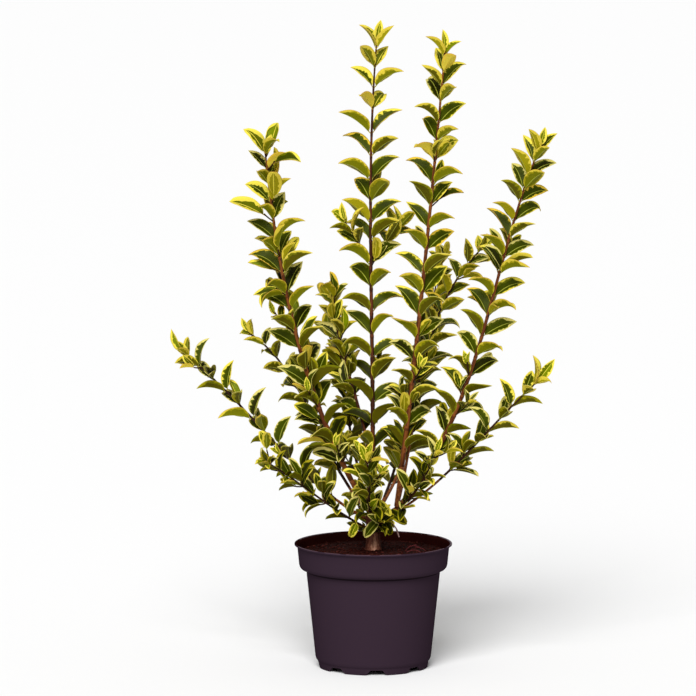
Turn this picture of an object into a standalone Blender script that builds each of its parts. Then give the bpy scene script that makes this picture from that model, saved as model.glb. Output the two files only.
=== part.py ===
"""Variegated privet shrub in a nursery pot.

The pot stands on Z = 0 with its axis on Z, and the front of the plant faces -Y.
A short trunk leaves the soil and forks into shoots. Each shoot is a bare tapering
bough and, from its tip on, a mass of foliage: the stem goes on through the mass,
short twigs leave it by a seeded rule, and leaves stand on both in crossed pairs.
"""
import math
import random
from collections import namedtuple

import bmesh
import bpy
import numpy as np
from mathutils import Vector
from mathutils.bvhtree import BVHTree

MM = 0.001
GAP = 0.3 * MM              # clearance between a piece and what carries it

# Pot, in millimetres: a round moulded pot of 190 mm across the rim
POT_HEIGHT = 150.4
RIM_RADIUS = 95.0
LIP_DEPTH = 2.0
COLLAR_TOP_RADIUS = 91.6
COLLAR_LOW_RADIUS = 89.2
COLLAR_LOW = 124.0
STEP_RADIUS = 80.6
STEP_HEIGHT = 117.4
BODY_LOW_RADIUS = 69.7
BODY_LOW = 12.0
FOOT_RADIUS = 66.0
FOOT_HEIGHT = 8.0
PAD_RADIUS = 24.0           # flat disc under the middle of the floor
WALL = 1.6
FLOOR_UNDER = 7.1           # height of the hollow under the floor, around the pad
FLOOR_THICK = 1.5
POT_SIDES = 40

# Drain notches through the foot
NOTCHES = 8
NOTCH_TURN = 3.0            # degrees from the front
NOTCH_WIDTH = 29.0
NOTCH_TOP_WIDTH = 14.0
NOTCH_HEIGHT = 6.2

# Soil, in millimetres above the floor that the pot stands on
SOIL_TOP = 141.5
SOIL_EDGE = 139.5
SOIL_FLAT = 16.0            # radius of the level place around the trunk

# Trunk: height above the soil and radius, in millimetres, with a flare at the foot
TRUNK_PROFILE = (
    (0.0, 11.0),
    (2.5, 9.9),
    (6.0, 9.2),
    (12.0, 8.7),
    (22.0, 8.2),
    (32.0, 7.9),
    (40.0, 7.9),
    (45.0, 7.0),
    (48.0, 5.2),
    (49.6, 2.4),
)
TRUNK_LEAN = -2.0           # how far its top stands to the left of its foot
TRUNK_SIDES = 12
LIMB_SIDES = 8
STEM_SIDES = 4
CROWDED = 36 * MM           # as far from its foot a limb may have to get clear of others
CLEAR_STEP = 0.1 * MM       # how finely that distance is found

# The limb that carries the shoots on the right, in millimetres
RIGHT_LIMB = ((1, -1, 161), (11, -5, 171), (18, -7, 184), (28, -10, 194))
RIGHT_LIMB_RADII = (4.9, 4.7, 4.6, 4.7, 4.9, 4.3, 2.4)

# Leaves. Lengths are counted from the stem's middle to the leaf's tip.
LEAF_WIDTH = 0.46           # of its length, laid flat
LEAF_FOLD = math.radians(40)    # how far each half is folded up along the midrib
LEAF_THICK = 0.022          # at the midrib, of the length
LEAST_THICK = 0.5 * MM      # and never less than this
LEAF_STEPS = 12             # steps that a leaf's midrib is walked in
LEAF_LIFT = 0.35            # how much the leaves of a leaning stem keep to the vertical
LARGE_LEAF = 44 * MM        # leaves from this length on have two sections, others one
LARGE_SECTIONS = ((0.36, 0.47), (0.72, 0.38))    # share of the length, share of the width
SMALL_SECTIONS = ((0.50, 0.56),)
TRIAL_SECTIONS = ((0.17, 0.24), (0.36, 0.47), (0.72, 0.38))
WHOLE_SECTIONS = ((0.0, 0.06),) + TRIAL_SECTIONS
LEAF_FACE_UP = 0.9          # how much the leaves of a lying stem turn their faces up
SHY = 1.25                  # how much wider a leaf is when it is tried for room

# How leaves stand, from the pair at the tip down: FADE is what is left from pair to pair
TIP_SHRINK = 0.46           # how much shorter the leaves at the tip are, on most stems
TIP_FADE = 0.75
TIP_PAIR = 1.2              # distance of the first pair from the tip, in millimetres
FOOT_SHRINK = 0.22          # and those at the stem's foot
CLOSE_SHRINK = 0.64         # how much closer the pairs at the tip are
CLOSE_FADE = 0.25
OPENING = 39                # degrees from the stem's way, at the leaf's root
OPENING_SHUT = 22           # less at the tip
OPENING_FADE = 0.55
BEND = 48                   # degrees that the leaf bends outwards, up to its own tip
BEND_SHUT = 36              # less at the tip
BEND_FADE = 0.6
BEND_LATE = 1.4             # over 1, the bend comes in the leaf's outer part
ROLL = 38                   # degrees that a leaf right or left of its stem rolls on its midrib
ROLL_LEAST = 10             # and a leaf in front of it or behind it
ROLL_RISE = 3               # sections from the root over which the roll comes
TURN_STRAY = 10
LENGTH_STRAY = (0.88, 1.06)
OPENING_STRAY = 7
BEND_STRAY = (-16, 22)
ROLL_STRAY = 14

Shoot = namedtuple(
    "Shoot", "name, line, thick, bare, leaf, step, top, turns, drift, spurs, sides, shrink")


def shoot(name, *line, thick, bare, leaf, step, turns, drift=2, top=(), spurs=0, sides=(),
          shrink=TIP_SHRINK):
    """One shoot: its line's foot, two handles and tip, and what grows on it.

    thick is its diameter at the foot, bare the share of its length with no leaves,
    leaf and step the length of a full leaf and the distance between pairs, all in
    millimetres, and top the first distances between pairs, from the tip down.
    turns are the directions of the first pairs, in degrees from the picture's plane.
    Further pairs take the last two by turns, and turn on by drift. spurs is the
    number of short twigs, and sides are longer ones: where each starts, as a share
    of the line, and its tip. shrink is how much shorter the leaves at its tip are.
    """
    return Shoot(name, line, thick, bare, leaf, step, top, turns, drift, spurs, sides,
                 shrink)


SHOOTS = (
    shoot("centre", (-2, 4, 181), (4, 21, 372), (-12, 38, 561), (4, 55, 750),
          thick=5.8, bare=0.12, leaf=55, step=27.5, drift=0, spurs=1,
          top=(8, 23, 24, 26, 29, 27, 30, 25, 26, 20, 31, 27, 29),
          turns=(60, -20, 50, -22, 57, 20, 144, 18, 130, 22, 137),
          sides=((0.545, (-34, 30, 536)), (0.545, (33, 62, 529)))),
    shoot("centre_right", (28, -12, 196), (51, -28, 376), (68, -44, 562), (84, -60, 748),
          thick=6.6, bare=0.09, leaf=53, step=27.0, drift=0, spurs=1,
          top=(8, 19, 17, 19, 26, 21, 24, 28, 26, 27, 27, 30, 24),
          turns=(110, 18, 116, 28, 120, 24, 127, 40, 147, 35)),
    shoot("right", (28, -6, 193), (132, -22, 313), (136, -50, 487), (196, -76, 635),
          thick=5.8, bare=0.12, leaf=52, step=26.0, drift=0, spurs=2,
          top=(8, 13, 18, 17, 16, 25, 21, 25, 20, 30, 24, 26, 25),
          turns=(100, 20, 125, 22, 125, 24, 20, 135, 24, 140)),
    shoot("left", (-2, -4, 184), (-83, -32, 318), (-114, -58, 478), (-128, -85, 632),
          thick=6.8, bare=0.11, leaf=55, step=25.0, turns=(155, 60), drift=0, spurs=3, shrink=0.62,
          top=(8, 16, 19, 22, 22, 24, 21, 21, 26, 19, 28, 23, 27, 24)),
    shoot("left_low", (-1, -2, 176), (-94, -8, 223), (-145, -14, 320), (-228, -21, 383),
          thick=3.8, bare=0.17, leaf=46, step=22.5, turns=(12, 105), spurs=1, shrink=0.28,
          top=(10, 17)),
    shoot("right_low", (28, -12, 190), (91, -31, 230), (141, -50, 304), (195, -72, 356),
          thick=3.4, bare=0.28, leaf=48, step=22.0, turns=(75, 168), shrink=0.28),
    shoot("left_inner", (-3, 10, 243), (-12, 21, 315), (-43, 30, 375), (-49, 40, 440),
          thick=4.4, bare=0.0, leaf=48, step=23.0, turns=(55, 145), spurs=1),
    shoot("left_back", (-2, 4, 183), (-69, 38, 248), (-74, 69, 345), (-152, 100, 394),
          thick=4.0, bare=0.16, leaf=43, step=23.0, turns=(15, 110), spurs=1),
    shoot("right_back", (0, 3, 180), (66, 37, 268), (61, 74, 383), (82, 110, 481),
          thick=4.2, bare=0.18, leaf=47, step=24.0, turns=(50, 140), spurs=1),
    shoot("right_mid", (28, -4, 192), (57, 29, 297), (48, 57, 419), (133, 85, 499),
          thick=4.0, bare=0.30, leaf=46, step=23.0, turns=(40, 130)),
    shoot("left_foot", (-1, -3, 166), (-46, -30, 190), (-84, -60, 232), (-128, -88, 262),
          thick=3.0, bare=0.16, leaf=40, step=20.0, turns=(15, 105)),
    shoot("back_left", (-2, 4, 178), (-22, 70, 235), (-34, 104, 300), (-44, 132, 382),
          thick=4.2, bare=0.18, leaf=38, step=22.0, turns=(30, 120), spurs=1),
    shoot("back_right", (0, 4, 174), (24, 62, 215), (42, 98, 270), (52, 128, 338),
          thick=4.0, bare=0.20, leaf=37, step=21.0, turns=(15, 105), spurs=1),
    shoot("front_left", (-1, -4, 174), (-6, -50, 196), (-6, -80, 228), (-8, -98, 268),
          thick=3.6, bare=0.17, leaf=42, step=20.0, turns=(35, 125), spurs=1),
    shoot("front_right", (21, -8, 185), (40, -44, 204), (60, -74, 232), (74, -92, 274),
          thick=3.4, bare=0.17, leaf=42, step=20.0, turns=(60, 150)),
    shoot("foot_front", (-1, -4, 162), (2, -24, 166), (8, -36, 176), (12, -44, 192),
          thick=2.4, bare=0.0, leaf=34, step=13.0, turns=(20, 110)),
    shoot("foot_back", (-1, 4, 163), (-6, 26, 166), (-16, 44, 178), (-22, 58, 200),
          thick=2.4, bare=0.0, leaf=30, step=14.0, turns=(40, 130)),
)
SEED = 1907
LINE_STEPS = 160            # straight steps that a shoot's line is walked in
BOUGH_STEP = 14 * MM        # length of the straight pieces of a bough
THIN = 1.5                  # diameter of a stem near its tip
STEM_TAPER = 0.7            # under 1, a stem keeps its thickness and thins near its tip
STEM_BARE = 6 * MM          # without leaves at the foot of a stem
TWIG_BARE = 8 * MM          # and of a twig
TWIG_THICK = 1.7
TWIG_HANDLES = (0.36, 0.70)     # where a twig's line has its two handles, as shares of its length
TWIG_SAG = (0.06, 0.05)     # and how far they hang
TWIG_TURN = 45              # direction of the first pair on a longer twig, in degrees
PAIR_CLEAR = 5 * MM         # from a joint in a stem's straight pieces to its ends
SPUR_LENGTH = (20, 40)      # shortest and longest, in millimetres
SPUR_STEP = 12.0
SPUR_LEAF = 0.62            # of its shoot's leaf
SPUR_REACH = 0.62           # the lower share of a stem's pairs that can bear one
SPUR_OUT = 0.9              # how much a short twig leans out from its stem
SPUR_UP = 0.35              # and how much it turns up
SIDE_STEP = 15.0            # between the pairs of a longer twig
SIDE_LEAF = 0.95            # of its shoot's leaf
TRY_TURNS = (0, 16, -16, 34, -34, 52, -52)
TRY_SIZES = (1.0, 0.82)

# Colours, as linear red, green and blue
BLACK_PLASTIC = (0.020, 0.016, 0.020)
DARK_SOIL = (0.035, 0.012, 0.006)
TAN_BARK = (0.22, 0.11, 0.055)
RED_BARK = (0.13, 0.045, 0.025)
GOLDEN_GREEN = (0.24, 0.26, 0.020)


def material(name, colour, roughness, metallic=0.0):
    """A Principled material of one colour."""
    made = bpy.data.materials.new(name)
    made.use_nodes = True
    shader = made.node_tree.nodes["Principled BSDF"]
    shader.inputs["Base Color"].default_value = (*colour, 1.0)
    shader.inputs["Roughness"].default_value = roughness
    shader.inputs["Metallic"].default_value = metallic
    return made


def collection(name):
    """A new collection in the scene."""
    made = bpy.data.collections.new(name)
    bpy.context.scene.collection.children.link(made)
    return made


def linked(name, data, place, finish=None):
    """A new object of a mesh or curve, in a collection and with its material."""
    made = bpy.data.objects.new(name, data)
    place.objects.link(made)
    if finish:
        data.materials.clear()
        data.materials.append(finish)
    return made


def smooth(mesh, degrees=40):
    """Shade the round faces smooth and keep the edges sharp."""
    mesh.shade_smooth()
    mesh.set_sharp_from_angle(angle=math.radians(degrees))


def turned(name, profile, place, finish):
    """A round piece from (radius, height) points in millimetres, outer side downwards."""
    mesh = bpy.data.meshes.new(name)
    points = [(radius * MM, 0, height * MM) for radius, height in profile]
    mesh.from_pydata(points, [(i, i + 1) for i in range(len(points) - 1)], [])
    made = linked(name, mesh, place, finish)
    screw = made.modifiers.new("turn", "SCREW")
    screw.steps = POT_SIDES
    screw.render_steps = POT_SIDES
    screw.use_merge_vertices = True
    screw.merge_threshold = 0.0001
    return made


def baked(item, name, weld=1e-6):
    """A mesh of an object as it stands with its modifiers, its doubles merged within weld."""
    bpy.context.view_layer.update()
    graph = bpy.context.evaluated_depsgraph_get()
    mesh = bpy.data.meshes.new_from_object(item.evaluated_get(graph))
    mesh.name = name
    work = bmesh.new()
    work.from_mesh(mesh)
    if weld:
        bmesh.ops.remove_doubles(work, verts=work.verts, dist=weld)
    work.to_mesh(mesh)
    work.free()
    return mesh


def outer_profile():
    """The pot's outer side from the rim down to the edge of its foot."""
    return [
        (RIM_RADIUS - 0.8, POT_HEIGHT),
        (RIM_RADIUS, POT_HEIGHT - 0.6),
        (RIM_RADIUS, POT_HEIGHT - LIP_DEPTH),
        (COLLAR_TOP_RADIUS, POT_HEIGHT - 4.6),
        (COLLAR_LOW_RADIUS, COLLAR_LOW),
        (COLLAR_LOW_RADIUS - 2.2, COLLAR_LOW - 4.2),
        (STEP_RADIUS, STEP_HEIGHT),
        (BODY_LOW_RADIUS, BODY_LOW),
        (BODY_LOW_RADIUS - 1.0, BODY_LOW - 2.6),
        (FOOT_RADIUS + 0.8, FOOT_HEIGHT),
        (FOOT_RADIUS, 0.0),
    ]


def inner_profile():
    """The pot's inner side from the middle of the floor up to the rim."""
    floor = FLOOR_UNDER + FLOOR_THICK
    return [
        (0.0, WALL),
        (PAD_RADIUS - 1.8, WALL),
        (PAD_RADIUS + 0.4, floor),
        (FOOT_RADIUS - 1.6, floor),
        (BODY_LOW_RADIUS - WALL, BODY_LOW + 0.8),
        (STEP_RADIUS - WALL, STEP_HEIGHT + 1.0),
        (COLLAR_LOW_RADIUS - 4.4, COLLAR_LOW - 3.2),
        (COLLAR_LOW_RADIUS - WALL, COLLAR_LOW + 0.6),
        (COLLAR_TOP_RADIUS - WALL, POT_HEIGHT - 3.6),
        (RIM_RADIUS - 2.0, POT_HEIGHT - 0.8),
    ]


def under_profile():
    """The pot's underside from the foot in to the middle of the pad."""
    return [
        (FOOT_RADIUS - WALL, 0.0),
        (FOOT_RADIUS - WALL, FLOOR_UNDER),
        (PAD_RADIUS + 2.0, FLOOR_UNDER),
        (PAD_RADIUS, 0.0),
        (0.0, 0.0),
    ]


def notch_cutter(angle, place):
    """A wedge that cuts one drain notch through the foot."""
    depth = 12 * MM
    low = 2 * MM
    bpy.ops.mesh.primitive_cube_add(size=1)
    made = bpy.context.object
    made.name = "notch_cutter"
    for vertex in made.data.vertices:
        top = vertex.co.z > 0
        width = NOTCH_TOP_WIDTH if top else NOTCH_WIDTH
        vertex.co.x *= width * MM
        vertex.co.y = vertex.co.y * depth - (FOOT_RADIUS + 0.6) * MM
        vertex.co.z = NOTCH_HEIGHT * MM if top else -low
    made.rotation_euler.z = math.radians(angle)
    for owner in made.users_collection:
        owner.objects.unlink(made)
    place.objects.link(made)
    made.hide_render = True
    made.display_type = "WIRE"
    return made


def make_pot(parts, cutters, finish):
    """The pot: a thin turned wall with a lip, a collar, and a notched foot."""
    pot = turned("pot", inner_profile() + outer_profile() + under_profile(), parts, finish)
    for number in range(NOTCHES):
        notch_cutter(NOTCH_TURN + number * 360 / NOTCHES, cutters)
    cut = pot.modifiers.new("notches", "BOOLEAN")
    cut.operand_type = "COLLECTION"
    cut.collection = cutters
    cut.operation = "DIFFERENCE"
    cut.solver = "EXACT"
    return pot


def make_soil(parts, finish):
    """The soil that fills the pot, level round the trunk and lower at the edge."""
    inset = GAP / MM
    wall = [(radius - inset, height) for radius, height in inner_profile()]
    edge = COLLAR_TOP_RADIUS - WALL - inset - 0.8
    top = [(0.0, SOIL_TOP), (SOIL_FLAT, SOIL_TOP), (0.6 * edge, SOIL_TOP - 0.9), (edge, SOIL_EDGE)]
    outer = list(reversed(wall[3:8]))
    floor = FLOOR_UNDER + FLOOR_THICK + inset
    outer[-1] = (outer[-1][0], floor)
    under = [(PAD_RADIUS, floor), (PAD_RADIUS - 2.2, WALL + inset), (0.0, WALL + inset)]
    return turned("soil", top + outer + under, parts, finish)


class Line:
    """A smooth line with a foot, two handles and a tip, walked by distance."""

    def __init__(self, foot, bend, reach, tip, unit=MM):
        knots = [Vector(point) * unit for point in (foot, bend, reach, tip)]
        self.points = [self.bezier(knots, i / LINE_STEPS) for i in range(LINE_STEPS + 1)]
        self.far = [0.0]
        for a, b in zip(self.points, self.points[1:]):
            self.far.append(self.far[-1] + (b - a).length)
        self.length = self.far[-1]

    @staticmethod
    def bezier(knots, s):
        """The cubic Bezier point at s, from 0 at the foot to 1 at the tip."""
        r = 1 - s
        return r**3 * knots[0] + 3 * s * r * r * knots[1] + 3 * s * s * r * knots[2] + s**3 * knots[3]

    def place(self, distance):
        """The point at a distance from the foot, and the line's direction there."""
        distance = min(max(distance, 0.0), self.length)
        index = int(np.searchsorted(self.far, distance)) - 1
        index = min(max(index, 0), len(self.points) - 2)
        a = self.points[index]
        b = self.points[index + 1]
        share = (distance - self.far[index]) / (self.far[index + 1] - self.far[index])
        return a.lerp(b, share), (b - a).normalized()


def across(way):
    """Two directions across a line: the one nearest the picture's plane, and its partner."""
    side = Vector((1, 0, 0)) - way.x * way
    side.normalize()
    return side, way.cross(side)


def limb_mesh(name, points, radii, sides):
    """A closed tapering tube along points, made as a bevelled curve and then a mesh."""
    curve = bpy.data.curves.new(name, "CURVE")
    curve.dimensions = "3D"
    curve.bevel_depth = MM
    curve.bevel_resolution = (sides - 4) // 2
    curve.use_fill_caps = True
    spline = curve.splines.new("POLY")
    spline.points.add(len(points) - 1)
    for knot, point, radius in zip(spline.points, points, radii):
        knot.co = (*point, 1)
        knot.radius = radius / MM
    tube = bpy.data.objects.new(name, curve)
    bpy.context.scene.collection.objects.link(tube)
    mesh = baked(tube, name)
    bpy.data.objects.remove(tube)
    bpy.data.curves.remove(curve)
    return mesh


def mesh_parts(mesh):
    """A mesh's corners and faces, for testing what touches what."""
    corners = [vertex.co.copy() for vertex in mesh.vertices]
    return corners, [tuple(face.vertices) for face in mesh.polygons]


def tree_of(pieces):
    """One search tree over many pieces."""
    corners = []
    faces = []
    for some_corners, some_faces in pieces:
        start = len(corners)
        corners.extend(some_corners)
        faces.extend(tuple(start + i for i in face) for face in some_faces)
    return BVHTree.FromPolygons(corners, faces)


def leave_limbs(line, radius, limbs):
    """The distance along a line from which on it is clear of the limbs around its foot."""
    tree = tree_of(limbs)
    for number in range(int(CROWDED / CLEAR_STEP), -1, -1):
        point, way = line.place(number * CLEAR_STEP)
        side, other = across(way)
        turns = [math.tau * i / LIMB_SIDES for i in range(LIMB_SIDES)]
        ring = [point + radius * (math.cos(a) * side + math.sin(a) * other) for a in turns]
        if min(tree.find_nearest(place)[3] for place in ring + [point]) < GAP:
            return (number + 1) * CLEAR_STEP
    return 0.0


def leaf_sections(place, way, side, up, length, opening, droop, roll):
    """Where a leaf's sections lie: each one's midrib point, normal and direction across.

    The leaf leaves the stem at the angle opening, in radians from the stem's way, which
    counts as more upright than it is, and bends outwards to the angle droop at its tip.
    roll is how far its blade is turned about the midrib.
    """
    point = place.copy()
    way = (way + LEAF_LIFT * Vector((0, 0, 1))).normalized()
    side = (side - side.dot(way) * way).normalized()
    sections = []
    for i in range(LEAF_STEPS + 1):
        angle = opening + (droop - opening) * (i / LEAF_STEPS) ** BEND_LATE
        ahead = math.cos(angle) * way + math.sin(angle) * side
        normal = math.sin(angle) * way - math.cos(angle) * side
        normal = (normal + up * (Vector((0, 0, 1)) - ahead.z * ahead)).normalized()
        over = ahead.cross(normal)
        spin = roll * min(i / ROLL_RISE, 1)
        sections.append((point.copy(), math.cos(spin) * normal + math.sin(spin) * over,
                         math.cos(spin) * over - math.sin(spin) * normal))
        point += ahead * length / LEAF_STEPS
    return sections


def leaf_rings(sections, length, shares, swell):
    """The corners of a leaf's sections: margin, midrib above, margin, midrib below."""
    corners = []
    thick = max(LEAF_THICK * length, LEAST_THICK) * swell
    for share, width in shares:
        point, normal, over = sections[round(share * (len(sections) - 1))]
        half = width * LEAF_WIDTH * length * swell
        out = half * math.cos(LEAF_FOLD) * over
        rise = half * math.sin(LEAF_FOLD) * normal
        corners.append(point + out + rise)
        corners.append(point + thick / 2 * normal)
        corners.append(point - out + rise)
        corners.append(point - thick / 2 * normal)
    return corners


def leaf_solid(root, sections, length):
    """A leaf as corners and faces: a folded blade, thick at the midrib, from root to tip."""
    shares = LARGE_SECTIONS if length >= LARGE_LEAF else SMALL_SECTIONS
    corners = [root] + leaf_rings(sections, length, shares, 1.0) + [sections[-1][0]]
    tip = len(corners) - 1
    faces = [(0, 1 + i, 1 + (i + 1) % 4) for i in range(4)]
    for ring in range(1, tip - 4, 4):
        for i in range(4):
            a = ring + i
            b = ring + (i + 1) % 4
            if i in (0, 2):
                faces.extend(((a, b + 4, b), (a, a + 4, b + 4)))
            else:
                faces.extend(((a, a + 4, b), (b, a + 4, b + 4)))
    faces.extend((tip, tip - 4 + (i + 1) % 4, tip - 4 + i) for i in range(4))
    return corners, faces


def leaf_trial(sections, length, shares):
    """A leaf as it is tried for room: wider than it is, from its first section on."""
    corners = leaf_rings(sections, length, shares, SHY) + [sections[-1][0]]
    tip = len(corners) - 1
    faces = []
    for ring in range(0, tip - 4, 4):
        for i in range(4):
            j = (i + 1) % 4
            faces.append((ring + i, ring + j, ring + j + 4, ring + i + 4))
    faces.extend((tip - 4 + i, tip - 4 + (i + 1) % 4, tip) for i in range(4))
    return corners, faces


def pair_places(length, step, top):
    """Distances from the tip at which pairs of leaves stand, closer near the tip.

    top holds the first distances from pair to pair where they were measured.
    """
    places = []
    distance = TIP_PAIR * MM
    while distance < length:
        number = len(places)
        places.append(distance)
        if number < len(top):
            distance += top[number] * MM
        else:
            distance += step * (1 - CLOSE_SHRINK * CLOSE_FADE**number)
    return places


Stalk = namedtuple(
    "Stalk", "line, start, end, radius_at, leaf, step, top, turns, drift, first, shrink")


def stem_radius(thick, length):
    """A rule for a stem's radius, from its foot's diameter down to the thin tip."""
    def radius_at(distance):
        share = min(max(distance / length, 0.0), 1.0)
        return 0.5 * (THIN + (thick - THIN) * (1 - share) ** STEM_TAPER) * MM
    return radius_at


def stalk_points(stalk):
    """The points and radii of a stem or twig: its ends, and between every second pair."""
    places = sorted(stalk.end - mark
                    for mark in pair_places(stalk.end - stalk.start, stalk.step, stalk.top))
    marks = [(a + b) / 2 for a, b in zip(places[::2], places[1::2])]
    marks = [mark for mark in marks
             if stalk.start + PAIR_CLEAR < mark < stalk.end - PAIR_CLEAR]
    marks = [stalk.start] + marks + [stalk.end]
    points = [stalk.line.place(mark)[0] for mark in marks]
    return points, [stalk.radius_at(mark) for mark in marks]


def side_twig(main, at, tip, leaf, step, turn):
    """A twig that leaves a stem at a distance and bends up to its tip."""
    root, way = main.line.place(at)
    span = tip - root
    bend, reach = (root + share * span - sag * span.length * Vector((0, 0, 1))
                   for share, sag in zip(TWIG_HANDLES, TWIG_SAG))
    line = Line(root, bend, reach, tip, unit=1)
    return Stalk(line, 0.0, line.length, stem_radius(TWIG_THICK, line.length), leaf, step,
                 (), (turn, turn + 90), 0.0, TWIG_BARE, TIP_SHRINK)


def grow_twigs(spec, main, chance):
    """The twigs on a shoot's stem: the stated longer ones, and short ones by chance."""
    twigs = []
    for at, tip in spec.sides:
        twigs.append(side_twig(main, at * main.line.length, Vector(tip) * MM,
                               SIDE_LEAF * spec.leaf * MM, SIDE_STEP * MM, TWIG_TURN))
    marks = pair_places(main.end - main.start, main.step, main.top)
    places = [main.end - mark for mark in marks]
    places = [place for place in places if place > main.start + main.first]
    lower = sorted(places)[: max(int(SPUR_REACH * len(places)), 1)]
    for at in chance.sample(lower, min(spec.spurs, len(lower))):
        root, way = main.line.place(at)
        side, other = across(way)
        turn = chance.uniform(0, math.tau)
        out = math.cos(turn) * side + math.sin(turn) * other
        aim = (way + SPUR_OUT * out + SPUR_UP * Vector((0, 0, 1))).normalized()
        tip = root + aim * chance.uniform(*SPUR_LENGTH) * MM
        twigs.append(side_twig(main, at, tip, SPUR_LEAF * spec.leaf * MM, SPUR_STEP * MM,
                               chance.uniform(0, 90)))
    return twigs


def pair_turn(stalk, number):
    """The direction of a pair in degrees: as listed, then by turns like the last two."""
    past = number - len(stalk.turns) + 1
    if past <= 0:
        return stalk.turns[number]
    return stalk.turns[-1 - past % 2] + past * stalk.drift


def grow_leaves(stalk, chance):
    """Every leaf that the rule puts on a stem or twig, as the arguments of its sections."""
    wanted = []
    marks = pair_places(stalk.end - stalk.start, stalk.step, stalk.top)
    for number, mark in enumerate(marks):
        at = stalk.end - mark
        if at < stalk.start + stalk.first:
            break
        place, way = stalk.line.place(at)
        side, other = across(way)
        grown = 1 - stalk.shrink * TIP_FADE**number
        older = 1 - FOOT_SHRINK * (mark / stalk.line.length) ** 2
        turn = math.radians(pair_turn(stalk, number))
        roll = ROLL_LEAST + (ROLL - ROLL_LEAST) * math.cos(turn) ** 2
        roll = math.copysign(roll, math.sin(2 * turn))
        turn += math.radians(chance.uniform(-TURN_STRAY, TURN_STRAY))
        for half in (0, math.pi):
            length = stalk.leaf * grown * older * chance.uniform(*LENGTH_STRAY)
            opening = OPENING - OPENING_SHUT * OPENING_FADE**number
            opening += chance.uniform(-OPENING_STRAY, OPENING_STRAY)
            droop = opening + BEND - BEND_SHUT * BEND_FADE**number
            droop += chance.uniform(*BEND_STRAY)
            spin = roll + chance.uniform(-ROLL_STRAY, ROLL_STRAY)
            wanted.append((place, way, side, other, turn + half, length,
                           math.radians(opening), math.radians(droop), math.radians(spin),
                           stalk.radius_at(at)))
    return wanted


def fit_leaf(wish, others, own):
    """The leaf that was asked for, turned or made smaller until it touches nothing."""
    place, way, side, other, turn, length, opening, droop, roll, radius = wish
    lying = 1 - abs(way.z)
    for size in TRY_SIZES:
        for shift in TRY_TURNS:
            angle = turn + math.radians(shift)
            out = math.cos(angle) * side + math.sin(angle) * other
            sections = leaf_sections(place, way, out, LEAF_FACE_UP * lying, length * size,
                                     opening, droop, roll)
            blade = leaf_trial(sections, length * size, TRIAL_SECTIONS)
            whole = leaf_trial(sections, length * size, WHOLE_SECTIONS)
            if own and BVHTree.FromPolygons(*blade).overlap(own):
                continue
            if BVHTree.FromPolygons(*whole).overlap(others):
                continue
            root = place - 0.5 * radius * out
            return leaf_solid(root, sections, length * size), blade, whole
    return None


def join_mass(name, stem, pieces, parts, finish):
    """One closed solid of a stem with its twigs and leaves, by a union on a collection."""
    added = collection(name + "_pieces")
    for number, mesh in enumerate(pieces):
        linked(f"{name}_piece_{number}", mesh, added)
    mass = linked(name, stem, parts, finish)
    union = mass.modifiers.new("union", "BOOLEAN")
    union.operand_type = "COLLECTION"
    union.collection = added
    union.operation = "UNION"
    for solver in ("EXACT", "MANIFOLD"):
        union.solver = solver
        mesh = baked(mass, name, weld=0)
        keep_largest(mesh)
        if is_closed(mesh):
            break
    mass.modifiers.remove(union)
    mass.data = mesh
    mesh.materials.clear()
    mesh.materials.append(finish)
    for item in list(added.objects):
        bpy.data.objects.remove(item)
    bpy.data.collections.remove(added)
    return mass


def is_closed(mesh):
    """Whether every edge of a mesh joins exactly two faces."""
    uses = {}
    for face in mesh.polygons:
        for key in face.edge_keys:
            uses[key] = uses.get(key, 0) + 1
    return all(count == 2 for count in uses.values())


def keep_largest(mesh):
    """Drop every separate piece of a mesh but the one with the most faces."""
    work = bmesh.new()
    work.from_mesh(mesh)
    left = set(work.faces)
    groups = []
    while left:
        reached = [left.pop()]
        for face in reached:
            for edge in face.edges:
                for near in edge.link_faces:
                    if near in left:
                        left.remove(near)
                        reached.append(near)
        groups.append(reached)
    groups.sort(key=len)
    for group in groups[:-1]:
        bmesh.ops.delete(work, geom=group, context="FACES")
    work.to_mesh(mesh)
    work.free()


def solid_mesh(name, solid):
    """A mesh from corners and faces."""
    mesh = bpy.data.meshes.new(name)
    mesh.from_pydata([tuple(corner) for corner in solid[0]], [], solid[1])
    return mesh


def make_trunk(parts, finish):
    """The trunk from its flat foot on the soil up to the fork."""
    foot = SOIL_TOP + GAP / MM
    points = []
    for height, _ in TRUNK_PROFILE:
        share = height / TRUNK_PROFILE[-1][0]
        points.append(Vector((TRUNK_LEAN * share * share, 0, foot + height)) * MM)
    radii = [radius * MM for _, radius in TRUNK_PROFILE]
    mesh = limb_mesh("trunk", points, radii, TRUNK_SIDES)
    smooth(mesh)
    linked("trunk", mesh, parts, finish)
    return mesh


def make_right_limb(parts, finish, trunk):
    """The short stout limb on the right, which ends in a knuckle."""
    line = Line(*RIGHT_LIMB)
    radii = [radius * MM for radius in RIGHT_LIMB_RADII]
    start = leave_limbs(line, radii[0], [mesh_parts(trunk)])
    marks = [start + (line.length - start) * i / (len(radii) - 1) for i in range(len(radii))]
    points = [line.place(mark)[0] for mark in marks]
    mesh = limb_mesh("limb_right", points, radii, LIMB_SIDES)
    smooth(mesh)
    linked("limb_right", mesh, parts, finish)
    return mesh


def make_bough(spec, line, radius_at, start, end, parts, finish):
    """One bare tapering bough."""
    count = max(int((end - start) / BOUGH_STEP), 2)
    marks = [start + (end - start) * i / count for i in range(count + 1)]
    points = [line.place(mark)[0] for mark in marks]
    mesh = limb_mesh("bough_" + spec.name, points, [radius_at(mark) for mark in marks], LIMB_SIDES)
    smooth(mesh)
    linked("bough_" + spec.name, mesh, parts, finish)
    return mesh


def others_of(woods, number):
    """The pieces of every shoot but one."""
    return [piece for i, wood in enumerate(woods) if i != number for piece in wood]


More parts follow.
